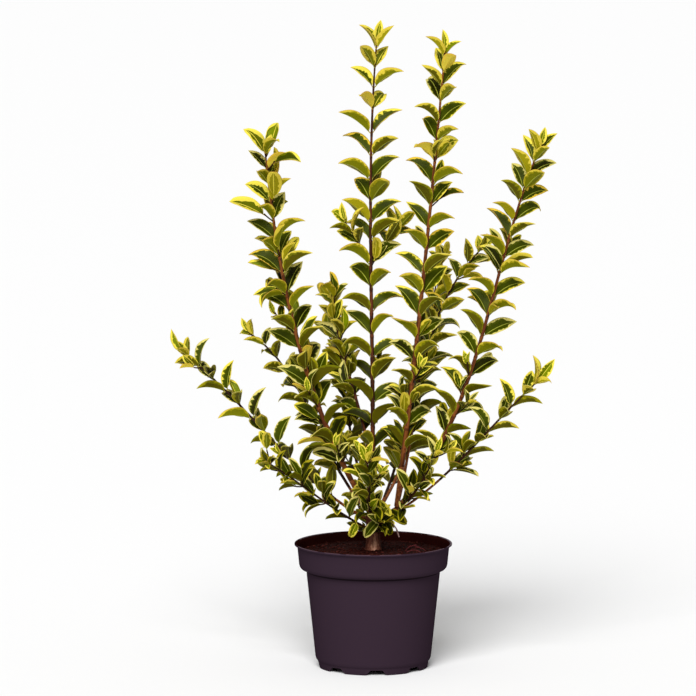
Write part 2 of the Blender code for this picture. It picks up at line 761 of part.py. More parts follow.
def main():
    """Build every sub-part: pot, soil, wood, and then the masses of foliage."""
    for item in list(bpy.data.objects):
        bpy.data.objects.remove(item)
    parts = collection("potted_privet")
    cutters = collection("cutters")
    plastic = material("black_plastic", BLACK_PLASTIC, 0.5)
    earth = material("dark_soil", DARK_SOIL, 0.95)
    old_bark = material("tan_bark", TAN_BARK, 0.8)
    young_bark = material("red_bark", RED_BARK, 0.6)
    foliage = material("golden_foliage", GOLDEN_GREEN, 0.45)

    pot = make_pot(parts, cutters, plastic)
    soil = make_soil(parts, earth)
    trunk = make_trunk(parts, old_bark)
    right_limb = make_right_limb(parts, young_bark, trunk)

    # Every limb, stem and twig is settled first, so that leaves can keep clear of them all
    limbs = [mesh_parts(trunk), mesh_parts(right_limb)]
    stems = []
    for number, spec in enumerate(SHOOTS):
        line = Line(*spec.line)
        radius_at = stem_radius(spec.thick, line.length)
        start = leave_limbs(line, radius_at(0), limbs + [wood for _, _, wood in stems])
        enter = max(spec.bare * line.length, start)
        print(f"{spec.name}: clear after {start / MM:.1f} mm, leaves from {enter / MM:.1f} mm")
        if spec.bare:
            bough = make_bough(spec, line, radius_at, start, enter - GAP / 2, parts, young_bark)
            limbs.append(mesh_parts(bough))
            enter += GAP / 2
        stem = Stalk(line, enter, line.length, radius_at, spec.leaf * MM, spec.step * MM,
                     spec.top, spec.turns, spec.drift, STEM_BARE, spec.shrink)
        mesh = limb_mesh(spec.name, *stalk_points(stem), STEM_SIDES)
        stems.append((stem, mesh, mesh_parts(mesh)))
    chances = [random.Random(SEED + number) for number in range(len(SHOOTS))]
    groups = [[stem] for stem, _, _ in stems]
    meshes = [[mesh] for _, mesh, _ in stems]
    woods = [[wood] for _, _, wood in stems]
    for number, spec in enumerate(SHOOTS):
        others = tree_of(limbs + others_of(woods, number))
        for twig in grow_twigs(spec, groups[number][0], chances[number]):
            points, radii = stalk_points(twig)
            wide = limb_mesh("trial", points, [radius + 2 * GAP for radius in radii], STEM_SIDES)
            if not BVHTree.FromPolygons(*mesh_parts(wide)).overlap(others):
                groups[number].append(twig)
                meshes[number].append(limb_mesh(spec.name, points, radii, STEM_SIDES))
                woods[number].append(mesh_parts(meshes[number][-1]))

    # Then each mass gets its leaves, which keep clear of all other masses and limbs
    solid = [mesh_parts(baked(pot, "pot_test")), mesh_parts(baked(soil, "soil_test"))] + limbs
    count = 0
    for number, spec in enumerate(SHOOTS):
        others = tree_of(solid + others_of(woods, number))
        blades = []
        leaves = []
        asked = 0
        for stalk in groups[number]:
            for wish in grow_leaves(stalk, chances[number]):
                asked += 1
                found = fit_leaf(wish, others, tree_of(blades) if blades else None)
                if found:
                    leaves.append(solid_mesh(spec.name, found[0]))
                    blades.append(found[1])
                    solid.append(found[2])
        count += len(leaves)
        stem, *twigs = meshes[number]
        mass = join_mass("foliage_" + spec.name, stem, twigs + leaves, parts, foliage)
        faces = sum(len(face.vertices) - 2 for face in mass.data.polygons)
        print(f"{mass.name}: {len(leaves)} leaves of {asked}, {faces} triangles")
    print("leaves in all", count)


main()
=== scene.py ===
# %% [markdown]
# # A golden privet in its nursery pot
# The real object is a young variegated privet, about 64 cm tall above the soil, that a
# nursery sells in a black moulded pot. Four long shoots and thirteen shorter ones leave
# one short trunk. Every shoot bears crossed pairs of folded leaves: green in the middle,
# golden along the margin.
#
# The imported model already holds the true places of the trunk, the boughs and the masses
# of leaves. This lesson loads it, grows the same shoots again by the same rule, and gives
# every leaf, twig, crumb of soil and moulded edge its real form.

import math
import random
from collections import namedtuple

import bmesh
import bpy
import numpy as np
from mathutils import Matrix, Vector, noise
from mathutils.bvhtree import BVHTree


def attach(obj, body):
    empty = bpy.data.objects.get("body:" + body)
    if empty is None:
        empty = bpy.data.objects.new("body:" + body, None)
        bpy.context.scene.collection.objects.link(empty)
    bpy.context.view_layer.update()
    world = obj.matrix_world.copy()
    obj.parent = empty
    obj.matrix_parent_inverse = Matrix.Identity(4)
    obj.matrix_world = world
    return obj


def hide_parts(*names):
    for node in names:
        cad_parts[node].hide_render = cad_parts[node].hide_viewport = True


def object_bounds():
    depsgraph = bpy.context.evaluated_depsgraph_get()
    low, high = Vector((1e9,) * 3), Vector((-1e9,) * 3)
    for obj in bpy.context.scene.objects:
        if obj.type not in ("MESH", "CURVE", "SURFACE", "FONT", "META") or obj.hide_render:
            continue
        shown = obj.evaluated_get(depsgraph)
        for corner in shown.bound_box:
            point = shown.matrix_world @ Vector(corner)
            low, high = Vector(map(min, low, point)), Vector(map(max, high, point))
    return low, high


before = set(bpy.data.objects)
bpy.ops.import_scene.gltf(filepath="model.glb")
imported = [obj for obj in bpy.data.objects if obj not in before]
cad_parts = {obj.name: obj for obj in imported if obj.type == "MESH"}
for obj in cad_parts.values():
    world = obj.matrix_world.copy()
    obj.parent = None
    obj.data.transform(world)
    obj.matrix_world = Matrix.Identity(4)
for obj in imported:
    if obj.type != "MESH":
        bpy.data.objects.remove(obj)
cad_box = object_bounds()
MM = 0.001
UP = Vector((0, 0, 1))
print("nodes:", len(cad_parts), "box:", [round(v, 3) for corner in cad_box for v in corner])

# %% [markdown]
# ## The photographer's place
# A nursery photographs its plants from far away with a long lens, so that the pot shows
# no distortion: its rim is a thin ellipse and its sides hardly lean. The camera stands
# 6 m in front, a little above the plant, and looks down by 7 degrees.

# %% Camera
SENSOR = 36
FOCAL_SHARE = 5040.7 / 696  # focal length as a share of the picture's width
CAMERA_PLACE = Vector((-0.03045, -6.0, 1.11427))
CAMERA_AIM = Vector((-0.03045, 0.0, 0.38663))

bpy.ops.object.camera_add(location=CAMERA_PLACE)
camera = bpy.context.object
camera.name = "photographer"
camera.rotation_euler = (CAMERA_AIM - CAMERA_PLACE).to_track_quat("-Z", "Y").to_euler()
camera.data.sensor_width = SENSOR
camera.data.lens = SENSOR * FOCAL_SHARE
camera.data.clip_end = 200
bpy.context.scene.camera = camera
print("lens:", round(camera.data.lens, 1), "mm")

# %% [markdown]
# ## Light and floor
# A cut-out picture like this one is taken in a white light tent. Soft light comes from
# all sides, and most of it from above the camera, so the upper sides of leaves shine and
# their undersides fall back. A sun with a very wide disc stands for the big soft box,
# because it lights the white floor evenly out to the horizon.

# %% Tent, lamps and floor
WORLD_STRENGTH = 0.35
SOFT_BOX_PLACE = Vector((-0.5, -3.2, 2.9))
SOFT_BOX_STRENGTH = 3.65
SOFT_BOX_WIDTH = math.radians(32)

world = bpy.data.worlds.new("tent")
world.use_nodes = True
world.node_tree.nodes["Background"].inputs["Strength"].default_value = WORLD_STRENGTH
world.node_tree.nodes["Background"].inputs["Color"].default_value = (1, 1, 1, 1)
bpy.context.scene.world = world
bpy.ops.object.light_add(type="SUN", location=SOFT_BOX_PLACE)
soft_box = bpy.context.object
soft_box.name = "soft_box"
soft_box.data.energy = SOFT_BOX_STRENGTH
soft_box.data.angle = SOFT_BOX_WIDTH
soft_box.rotation_euler = (-SOFT_BOX_PLACE).to_track_quat("-Z", "Y").to_euler()
bpy.context.scene.view_settings.view_transform = "Standard"


def new_finish(name, colour, roughness):
    """A Principled material of one base colour, with its node tree and shader."""
    made = bpy.data.materials.new(name)
    made.use_nodes = True
    tree = made.node_tree
    shader = tree.nodes["Principled BSDF"]
    shader.inputs["Base Color"].default_value = (*colour, 1)
    shader.inputs["Roughness"].default_value = roughness
    return made, tree, shader


def seen(red, green, blue):
    """A colour as a screen shows it, from 0 to 255, as linear light."""
    shares = [value / 255 for value in (red, green, blue)]
    return tuple(s / 12.92 if s <= 0.04045 else ((s + 0.055) / 1.055) ** 2.4 for s in shares)


bpy.ops.mesh.primitive_plane_add(size=120)
floor = bpy.context.object
floor.name = "white_floor"
floor.data.materials.append(new_finish("white_paper", seen(244, 244, 244), 0.9)[0])
print("light of the tent:", WORLD_STRENGTH, "and of the soft box:", SOFT_BOX_STRENGTH)

# %% [markdown]
# ## Tools for the bench
# Most pieces are made by the same few moves: deselect everything, take one piece in
# hand, add a modifier and apply it, or draw a ring upwards and widen it step by step.

# %% Helpers for shaping


def hold(piece):
    """Select one piece alone and make it active."""
    bpy.ops.object.select_all(action="DESELECT")
    piece.select_set(True)
    bpy.context.view_layer.objects.active = piece


def shape_with(piece, kind, **settings):
    """Add a modifier to a piece and apply it."""
    hold(piece)
    step = piece.modifiers.new(kind.lower(), kind)
    for key, value in settings.items():
        setattr(step, key, value)
    bpy.ops.object.modifier_apply(modifier=step.name)


def turn_out(piece, degrees=35):
    """Merge doubles, point every face outwards and shade the piece."""
    hold(piece)
    bpy.ops.object.mode_set(mode="EDIT")
    bpy.ops.mesh.select_all(action="SELECT")
    bpy.ops.mesh.remove_doubles(threshold=1e-6)
    bpy.ops.mesh.normals_make_consistent(inside=False)
    bpy.ops.object.mode_set(mode="OBJECT")
    bpy.ops.object.shade_smooth_by_angle(angle=math.radians(degrees))


def raise_rings(name, profile, sides):
    """A round closed piece: one circle, extruded and widened along (radius, height) in mm."""
    bpy.ops.object.select_all(action="DESELECT")
    radius, height = profile[0]
    bpy.ops.mesh.primitive_circle_add(vertices=sides, radius=radius * MM, fill_type="NGON",
                                      location=(0, 0, height * MM))
    piece = bpy.context.object
    piece.name = name
    bpy.ops.object.transform_apply(location=True, rotation=True, scale=True)
    bpy.ops.object.mode_set(mode="EDIT")
    bpy.ops.mesh.select_all(action="SELECT")
    bpy.ops.mesh.extrude_region_move()
    for wider, higher in profile[1:]:
        if (wider, higher) != profile[1]:
            bpy.ops.mesh.extrude_region_move()
        bpy.ops.transform.translate(value=(0, 0, (higher - height) * MM))
        ratio = wider / radius
        bpy.ops.transform.resize(value=(ratio, ratio, 1), center_override=(0, 0, higher * MM))
        radius, height = wider, higher
    bpy.ops.object.mode_set(mode="OBJECT")
    return piece


def hand_over(piece, nodes=()):
    """Tie a finished piece to the plant: its body and the nodes it stands for."""
    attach(piece, "root")
    if nodes:
        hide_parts(*nodes)
    count = sum(len(face.vertices) - 2 for face in piece.data.polygons)
    print(f"{piece.name}: {count} triangles")


# %% [markdown]
# ## Finishes
# Each leaf has plain colours that are dealt out to its faces: deep green along the
# midrib, a paler green that ends in teeth, and gold along the margin. The underside has
# the same pattern in milky tones. What the surface does to light comes from nodes: a
# waxy gloss that varies a little, and side veins as fine bumps that follow the blade.

# %% Leaf finishes
VEINS = {"Scale": 2.2, "Distortion": 0.8, "Detail": 2}
VEIN_HEIGHT = 0.25
VEIN_DEPTH = 0.4  # in mm
BLOTCHES = {"Scale": 160}
LEAF_SHINE = 0.05


def add_node(tree, kind, sources=(), values=()):
    """A new shader node: what feeds its inputs, and its inputs' own values."""
    made = tree.nodes.new("ShaderNode" + kind)
    for socket, source in sources:
        tree.links.new(source, made.inputs[socket])
    for socket, value in dict(values).items():
        made.inputs[socket].default_value = value
    return made


def work_surface(tree, shader, bumps, strength, depth, blotches, gloss, shine):
    """Give a finish bumps from one texture, and from another a roughness that varies."""
    bump = add_node(tree, "Bump", [("Height", bumps)],
                    {"Strength": strength, "Distance": depth * MM})
    spread = add_node(tree, "MapRange", [("Value", blotches)],
                      {"To Min": gloss[0], "To Max": gloss[1]})
    tree.links.new(bump.outputs["Normal"], shader.inputs["Normal"])
    tree.links.new(spread.outputs["Result"], shader.inputs["Roughness"])
    shader.inputs["Specular IOR Level"].default_value = shine


def leaf_finish(name, colour, roughness):
    """A waxy leaf surface of one colour, with side veins along its own map."""
    made, tree, shader = new_finish(name, colour, roughness)
    place = add_node(tree, "TexCoord").outputs
    veins = add_node(tree, "TexWave", [("Vector", place["UV"])], VEINS)
    veins.bands_direction = "Y"
    blotches = add_node(tree, "TexNoise", [("Vector", place["Object"])], BLOTCHES)
    work_surface(tree, shader, veins.outputs["Fac"], VEIN_HEIGHT, VEIN_DEPTH,
                 blotches.outputs["Fac"], (roughness - 0.10, roughness + 0.12), LEAF_SHINE)
    return made


LEAF_COLOURS = {
    # colour as seen, and roughness
    "rib": ((154, 158, 56), 0.44),
    "green_deep": ((58, 66, 0), 0.32),
    "green_dark": ((36, 37, 0), 0.32),
    "green_fresh": ((112, 124, 4), 0.36),
    "green_pale": ((92, 98, 2), 0.36),
    "green_mid": ((74, 82, 1), 0.34),
    "gold_bright": ((222, 206, 72), 0.38),
    "gold_warm": ((214, 182, 56), 0.38),
    "gold_shade": ((148, 136, 20), 0.42),
    "under_green": ((104, 104, 3), 0.50),
    "under_mid": ((142, 133, 10), 0.50),
    "under_gold": ((204, 184, 58), 0.50),
    "under_shade": ((80, 74, 2), 0.54),
    "edge": ((178, 128, 56), 0.46),
    "cream": ((206, 194, 106), 0.42),
}
FINISH_ORDER = list(LEAF_COLOURS)
finishes = {name: leaf_finish("leaf_" + name, seen(*colour), roughness)
            for name, (colour, roughness) in LEAF_COLOURS.items()}

# Which finish each part of the leaf takes, for every tone that a leaf may have.
# The parts are: rib, deep green, outer green, gold, the same four underneath, and the rim.
TONES = {
    "bright": "rib green_deep green_pale gold_bright rib under_green under_mid under_gold edge",
    "warm": "rib green_deep green_mid gold_warm rib under_mid under_mid under_gold edge",
    "deep": "rib green_dark green_mid cream rib under_shade under_green under_gold cream",
    "shade": "green_pale green_dark green_deep gold_shade "
             "green_pale under_shade under_shade under_green under_green",
    "young": "gold_bright green_fresh green_pale gold_bright "
             "gold_bright under_mid under_gold under_gold edge",
    "olive": "rib green_deep green_mid cream rib under_shade under_green under_mid cream",
    "golden": "gold_bright green_pale gold_bright gold_bright "
              "gold_warm under_gold under_gold gold_warm edge",
}
print("leaf finishes:", len(finishes))

# %% [markdown]
# Bark, plastic and soil get the same care. Young privet bark is smooth and reddish
# brown with pale pores, older bark on the trunk is tan and finely cracked. The pot is
# moulded plastic: matte, with faint rings from the mould. Soil is rough and dark.

# %% Bark, plastic and soil finishes
GRAIN_DETAIL = 6
BUMP_STRENGTH = 0.8
GLOSS_SPREAD = 0.12  # how far the roughness strays
EVEN = (1, 1, 1)
MOULDED = (0.25, 0.25, 3.0)  # stretch of the grain along X, Y and Z
OLD_GRAIN = (1, 1, 0.25)
GRAIN = (1, 1, 0.3)


def rough_finish(name, colour, roughness, scale, height, stretch, shine):
    """A surface of one colour whose bumps and gloss follow noise in the piece's own space."""
    made, tree, shader = new_finish(name, colour, roughness)
    place = add_node(tree, "TexCoord").outputs["Object"]
    turn = add_node(tree, "Mapping", [("Vector", place)], {"Scale": stretch})
    grain = add_node(tree, "TexNoise", [("Vector", turn.outputs["Vector"])],
                     {"Scale": scale, "Detail": GRAIN_DETAIL}).outputs["Fac"]
    gloss = max(roughness - GLOSS_SPREAD, 0.05), min(roughness + GLOSS_SPREAD, 1.0)
    work_surface(tree, shader, grain, BUMP_STRENGTH, height, grain, gloss, shine)
    return made


ROUGH_FINISHES = {
    # colour as seen, roughness, how fine the grain is, its height in mm, its stretch, shine
    "black_plastic": ((47, 35, 45), 0.6, 420, 0.05, MOULDED, 0),
    # painted shade on the inside of the pot, dark reddish brown
    "inner_wall_painted_shade": ((38, 11, 8), 0.8, 420, 0.2, EVEN, 0),
    # painted shade in the crease under the collar
    "crease_painted_shade": ((26, 18, 23), 0.8, 420, 0.2, EVEN, 0),
    # a painted highlight on the lip
    "lip_painted_highlight": ((84, 64, 74), 0.4, 420, 0.05, EVEN, 0.1),
    # painted light on the old trunk: a painted highlight, then lit, half shaded and painted shade
    # tan bark
    "bark_painted_highlight": ((222, 164, 132), 0.5, 700, 0.3, OLD_GRAIN, 0.3),
    "tan_bark": ((178, 122, 96), 0.7, 700, 0.3, OLD_GRAIN, 0.2),
    "bark_tan_painted_half_shade": ((128, 78, 60), 0.75, 700, 0.3, OLD_GRAIN, 0.1),
    "bark_tan_painted_shade": ((84, 44, 32), 0.8, 700, 0.3, OLD_GRAIN, 0.05),
    "red_bark": ((88, 44, 20), 0.5, 900, 0.25, GRAIN, 0.1),
    "red_bark_dark": ((54, 26, 12), 0.55, 900, 0.25, GRAIN, 0.1),
    "orange_bark": ((118, 66, 27), 0.5, 900, 0.25, GRAIN, 0.1),
    "black_bark": ((38, 20, 10), 0.6, 900, 0.25, GRAIN, 0.1),
    "pale_pores": ((132, 88, 54), 0.8, 900, 0.3, EVEN, 0.2),
    "soil_dark": ((36, 8, 4), 0.7, 900, 1.0, EVEN, 0.05),
    "soil_brown": ((50, 14, 8), 0.75, 900, 1.0, EVEN, 0.05),
    "soil_fibre": ((80, 34, 28), 0.8, 900, 0.4, EVEN, 0.1),
    "root_red": ((104, 38, 40), 0.6, 900, 0.2, EVEN, 0.2),
    "dry_stalk": ((214, 172, 164), 0.8, 900, 0.2, EVEN, 0.2),
}
for name, (colour, *grain) in ROUGH_FINISHES.items():
    finishes[name] = rough_finish(name, seen(*colour), *grain)


def give_finishes(piece, *names):
    """Give a piece its finishes in this order, in place of any that it has."""
    piece.data.materials.clear()
    for name in names:
        piece.data.materials.append(finishes[name])


print("bark, plastic and soil finishes:", len(ROUGH_FINISHES))

# %% [markdown]
# ## The pot
# A three-litre nursery pot is injection moulded: a wall of one and a half millimetres
# with a rolled lip, a collar that lets pots stack, a step below it and a foot with
# drain notches. It could be a turned profile with a spin, but raising one circle ring
# by ring shows better how such a wall runs: up inside, over the lip and down outside.

# %% The pot's wall
RIM_RADIUS = 95.0
POT_SIDES = 160
POT_PROFILE = (
    # up the inside, from the pad's upper face
    (22.2, 1.6), (24.4, 8.6), (64.2, 8.6), (65.6, 9.6), (68.0, 12.8),
    (78.8, 113.0), (79.0, 118.0), (79.9, 119.0), (84.4, 120.6), (86.5, 122.4),
    (87.6, 125.0), (89.9, 146.0), (90.6, 148.0), (92.6, 149.6),
    # over the lip
    (93.4, 150.2), (94.3, 150.4), (94.9, 150.0), (95.0, 149.4), (94.9, 148.6),
    (94.2, 148.1), (92.2, 147.2), (91.5, 145.8),
    # down the outside
    (90.4, 135.0), (89.5, 125.6), (89.2, 124.0), (88.5, 122.0), (87.0, 120.2),
    (84.6, 119.0), (81.8, 118.2), (80.9, 117.5), (80.5, 116.4), (80.2, 112.0),
    (69.9, 14.0), (69.6, 12.4), (69.3, 11.4), (68.8, 10.2), (68.4, 9.4), (67.0, 8.2),
    (66.7, 7.4),
    (66.1, 0.5), (65.7, 0.0),
    # under the foot
    (64.8, 0.0), (64.4, 0.4), (64.4, 7.1), (26.0, 7.1), (24.3, 0.4), (23.9, 0.0),
)
INNER_SHADE_FROM = 118.0  # above this height the inside is painted dark reddish brown: painted shade
COLLAR_SHADE_HEIGHTS = (116.2, 119.4)  # heights between which the crease under the collar is painted dark: painted shade
LIP_FROM = 149.8  # above this height the lip is painted pale in places: painted highlight
HIGHLIGHT_SIZE = 30  # size of those places, in mm
HIGHLIGHT_NOISE = -0.1  # noise above which the lip has the painted highlight
NOTCHES = 8
NOTCH_TURN = 3.0
NOTCH_WIDTHS = (29.0, 14.0)  # at the floor and at the top
NOTCH_HEIGHT = 6.2
WEDGE_REACH = 12  # the cutting wedge's length
WEDGE_OUT = 0.7  # its middle's distance from the pot's, of the rim's

pot = raise_rings("pot_shell", POT_PROFILE, POT_SIDES)
turn_out(pot)
bpy.ops.mesh.primitive_cube_add(size=1)
wedge = bpy.context.object
for vertex in wedge.data.vertices:
    upper = vertex.co.z > 0
    vertex.co.x *= NOTCH_WIDTHS[upper] * MM
    vertex.co.y = (vertex.co.y * WEDGE_REACH - RIM_RADIUS * WEDGE_OUT) * MM
    vertex.co.z = NOTCH_HEIGHT * MM if upper else -2 * MM
for number in range(NOTCHES):
    wedge.rotation_euler.z = math.radians(NOTCH_TURN + number * 360 / NOTCHES)
    shape_with(pot, "BOOLEAN", object=wedge, operation="DIFFERENCE", solver="EXACT")
bpy.data.objects.remove(wedge)
give_finishes(pot, "black_plastic", "inner_wall_painted_shade", "crease_painted_shade", "lip_painted_highlight")
for face in pot.data.polygons:
    x, y, height = face.center / MM
    inwards = face.normal.x * x + face.normal.y * y < 0
    if height > LIP_FROM and noise.noise((x / HIGHLIGHT_SIZE, y / HIGHLIGHT_SIZE, 2)) > HIGHLIGHT_NOISE:
        # patches of the lip are painted pale: painted highlight
        face.material_index = 3
    elif inwards:
        # the inside above that height takes painted shade, dark reddish brown
        face.material_index = int(height > INNER_SHADE_FROM)
    elif COLLAR_SHADE_HEIGHTS[0] < height < COLLAR_SHADE_HEIGHTS[1]:
        # the crease under the collar is painted dark: painted shade
        face.material_index = 2
hold(pot)
bpy.ops.object.shade_smooth_by_angle(angle=math.radians(35))
hand_over(pot, ["pot"])

# %% [markdown]
# ## The soil
# Peat and bark fill the pot to a finger's width below its rim. A round bed of rings
# gets its lumps from noise, and loose crumbs, chips and root fibres lie on it.

# %% The bed
SOIL_TOP = 141.5
SOIL_EDGE = 139.5
SOIL_RADIUS = 88.2
SOIL_SIDES = 144
SOIL_RINGS = 56
SOIL_FLAT = 16  # radius of the level place round the trunk
LUMP = 1.5  # how far lumps stand up or down, in mm
CALM = 4  # width of the strip without lumps at the wall
LEAST_RING = 0.4  # radius of the innermost ring
BROWN = 0.15  # noise above which the bed is browner


def soil_height(radius):
    """The bed's mean height: level round the trunk and lower at the wall."""
    share = max(radius - SOIL_FLAT, 0) / (SOIL_RADIUS - SOIL_FLAT)
    return SOIL_TOP - (SOIL_TOP - SOIL_EDGE) * share**1.6


def soil_lump(x, y):
    """How far the bed stands above its mean height at a place, in mm."""
    far = math.hypot(x, y)
    calm = min(max((SOIL_RADIUS - far) / CALM, 0), 1)
    coarse = noise.fractal((x / 9, y / 9, 3.1), 0.8, 2.1, 3)
    fine = noise.fractal((x / 2.6, y / 2.6, 7.7), 0.7, 2.2, 3)
    return calm * LUMP * (0.8 * coarse + 0.6 * fine)


under = ((22.0, 1.9), (24.1, 8.9), (64.0, 8.9), (65.4, 10.2), (67.6, 13.2), (78.4, 113.0),
         (78.6, 118.4), (84.2, 121.2), (87.0, 125.1), (SOIL_RADIUS, SOIL_EDGE))
rings = [SOIL_RADIUS * (1 - i / SOIL_RINGS) + LEAST_RING for i in range(1, SOIL_RINGS + 1)]
bed = raise_rings("soil_bed", under + tuple((r, soil_height(r)) for r in rings), SOIL_SIDES)
turn_out(bed, 180)
for vertex in bed.data.vertices:
    if vertex.co.z > (SOIL_EDGE - 0.01) * MM:
        vertex.co.z += soil_lump(vertex.co.x / MM, vertex.co.y / MM) * MM
give_finishes(bed, "soil_dark", "soil_brown")
for face in bed.data.polygons:
    x, y, _ = face.center / MM
    face.material_index = int(noise.noise((x / 2.1, y / 2.1, 1.0)) > BROWN)
hand_over(bed, ["soil"])

# %% [markdown]
# ## How the plant grows
# Every shoot is a smooth line with a foot, two handles and a tip. Pairs of leaves stand
# on it at measured distances from the tip, each pair crossed with the last, smaller and
# closer towards the tip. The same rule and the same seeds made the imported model, so
# every leaf here lies where its solid lies.

# %% Sizes of the growing rule
GAP = 0.3 * MM  # between solids that meet
# The trunk's heights above the soil and radii, and the limb on its right
TRUNK_PROFILE = (
    (0.0, 11.0), (2.5, 9.9), (6.0, 9.2), (12.0, 8.7), (22.0, 8.2),
    (32.0, 7.9), (40.0, 7.9), (45.0, 7.0), (48.0, 5.2), (49.6, 2.4),
)
TRUNK_LEAN = -2.0
# How finely limbs, stems and lines are walked
LIMB_SIDES = 8
STEM_SIDES = 4
LINE_STEPS = 160
CROWDED = 36 * MM
CLEAR_STEP = 0.1 * MM
RIGHT_LIMB = ((1, -1, 161), (11, -5, 171), (18, -7, 184), (28, -10, 194))
RIGHT_LIMB_RADII = (4.9, 4.7, 4.6, 4.7, 4.9, 4.3, 2.4)
# A leaf, in shares of its length
LEAF_WIDTH = 0.46
LEAF_FOLD = math.radians(40)
LEAF_THICK = 0.022
LEAST_THICK = 0.5 * MM
LEAF_STEPS = 12
LEAF_LIFT = 0.35
# Where along its length a leaf is tried for room, and its half width there
TRIAL_SECTIONS = ((0.17, 0.24), (0.36, 0.47), (0.72, 0.38))
WHOLE_SECTIONS = ((0.0, 0.06),) + TRIAL_SECTIONS
LEAF_FACE_UP = 0.9
SHY = 1.25
# How much smaller and closer pairs are at the tip, and how much of that each next one keeps
TIP_SHRINK = 0.46
TIP_FADE = 0.75
TIP_PAIR = 1.2
FOOT_SHRINK = 0.22
CLOSE_SHRINK = 0.64
CLOSE_FADE = 0.25
# In degrees: how far a leaf opens from its stem, bends on and rolls, and less at the tip
OPENING = 39
OPENING_SHUT = 22
OPENING_FADE = 0.55
BEND = 48
BEND_SHUT = 36
BEND_FADE = 0.6
BEND_LATE = 1.4
ROLL = 38
ROLL_LEAST = 10
ROLL_RISE = 3
# How far chance may shift each of these
TURN_STRAY = 10
LENGTH_STRAY = (0.88, 1.06)
OPENING_STRAY = 7
BEND_STRAY = (-16, 22)
ROLL_STRAY = 14
SEED = 1907
# Stems, the twigs on them, and how a leaf without room is turned or made smaller
THIN = 1.5
STEM_TAPER = 0.7
STEM_BARE = 6 * MM
TWIG_BARE = 8 * MM
TWIG_THICK = 1.7
TWIG_HANDLES = (0.36, 0.70)
TWIG_SAG = (0.06, 0.05)
TWIG_TURN = 45
PAIR_CLEAR = 5 * MM
SPUR_LENGTH = (20, 40)
SPUR_STEP = 12.0
SPUR_LEAF = 0.62
SPUR_REACH = 0.62
SPUR_OUT = 0.9
SPUR_UP = 0.35
SIDE_STEP = 15.0
SIDE_LEAF = 0.95
TRY_TURNS = (0, 16, -16, 34, -34, 52, -52)
TRY_SIZES = (1.0, 0.82)

# %% The shoots
Shoot = namedtuple(
    "Shoot", "name, line, thick, bare, leaf, step, turns, top, drift, spurs, sides, shrink",
    defaults=((), 2, 0, (), TIP_SHRINK))
SHOOTS = (
    # name, then in mm: the line's foot, two handles and tip, diameter at the foot, share
    # that is bare, a full leaf, the distance of pairs, and their first directions in degrees
    Shoot("centre", ((-2, 4, 181), (4, 21, 372), (-12, 38, 561), (4, 55, 750)),
          5.8, 0.12, 55, 27.5, (60, -20, 50, -22, 57, 20, 144, 18, 130, 22, 137),
          (8, 23, 24, 26, 29, 27, 30, 25, 26, 20, 31, 27, 29), drift=0, spurs=1,
          sides=((0.545, (-34, 30, 536)), (0.545, (33, 62, 529)))),
    Shoot("centre_right", ((28, -12, 196), (51, -28, 376), (68, -44, 562), (84, -60, 748)),
          6.6, 0.09, 53, 27.0, (110, 18, 116, 28, 120, 24, 127, 40, 147, 35),
          (8, 19, 17, 19, 26, 21, 24, 28, 26, 27, 27, 30, 24), drift=0, spurs=1),
    Shoot("right", ((28, -6, 193), (132, -22, 313), (136, -50, 487), (196, -76, 635)),
          5.8, 0.12, 52, 26.0, (100, 20, 125, 22, 125, 24, 20, 135, 24, 140),
          (8, 13, 18, 17, 16, 25, 21, 25, 20, 30, 24, 26, 25), drift=0, spurs=2),
    Shoot("left", ((-2, -4, 184), (-83, -32, 318), (-114, -58, 478), (-128, -85, 632)),
          6.8, 0.11, 55, 25.0, (155, 60),
          (8, 16, 19, 22, 22, 24, 21, 21, 26, 19, 28, 23, 27, 24), drift=0, spurs=3, shrink=0.62),
    Shoot("left_low", ((-1, -2, 176), (-94, -8, 223), (-145, -14, 320), (-228, -21, 383)),
          3.8, 0.17, 46, 22.5, (12, 105), (10, 17), spurs=1, shrink=0.28),
    Shoot("right_low", ((28, -12, 190), (91, -31, 230), (141, -50, 304), (195, -72, 356)),
          3.4, 0.28, 48, 22.0, (75, 168), shrink=0.28),
    Shoot("left_inner", ((-3, 10, 243), (-12, 21, 315), (-43, 30, 375), (-49, 40, 440)),
          4.4, 0.0, 48, 23.0, (55, 145), spurs=1),
    Shoot("left_back", ((-2, 4, 183), (-69, 38, 248), (-74, 69, 345), (-152, 100, 394)),
          4.0, 0.16, 43, 23.0, (15, 110), spurs=1),
    Shoot("right_back", ((0, 3, 180), (66, 37, 268), (61, 74, 383), (82, 110, 481)),
          4.2, 0.18, 47, 24.0, (50, 140), spurs=1),
    Shoot("right_mid", ((28, -4, 192), (57, 29, 297), (48, 57, 419), (133, 85, 499)),
          4.0, 0.30, 46, 23.0, (40, 130)),
    Shoot("left_foot", ((-1, -3, 166), (-46, -30, 190), (-84, -60, 232), (-128, -88, 262)),
          3.0, 0.16, 40, 20.0, (15, 105)),
    Shoot("back_left", ((-2, 4, 178), (-22, 70, 235), (-34, 104, 300), (-44, 132, 382)),
          4.2, 0.18, 38, 22.0, (30, 120), spurs=1),
    Shoot("back_right", ((0, 4, 174), (24, 62, 215), (42, 98, 270), (52, 128, 338)),
          4.0, 0.20, 37, 21.0, (15, 105), spurs=1),
    Shoot("front_left", ((-1, -4, 174), (-6, -50, 196), (-6, -80, 228), (-8, -98, 268)),
          3.6, 0.17, 42, 20.0, (35, 125), spurs=1),
    Shoot("front_right", ((21, -8, 185), (40, -44, 204), (60, -74, 232), (74, -92, 274)),
          3.4, 0.17, 42, 20.0, (60, 150)),
    Shoot("foot_front", ((-1, -4, 162), (2, -24, 166), (8, -36, 176), (12, -44, 192)),
          2.4, 0.0, 34, 13.0, (20, 110)),
    Shoot("foot_back", ((-1, 4, 163), (-6, 26, 166), (-16, 44, 178), (-22, 58, 200)),
          2.4, 0.0, 30, 14.0, (40, 130)),
)
print("shoots:", len(SHOOTS))

# %% Lines and limbs


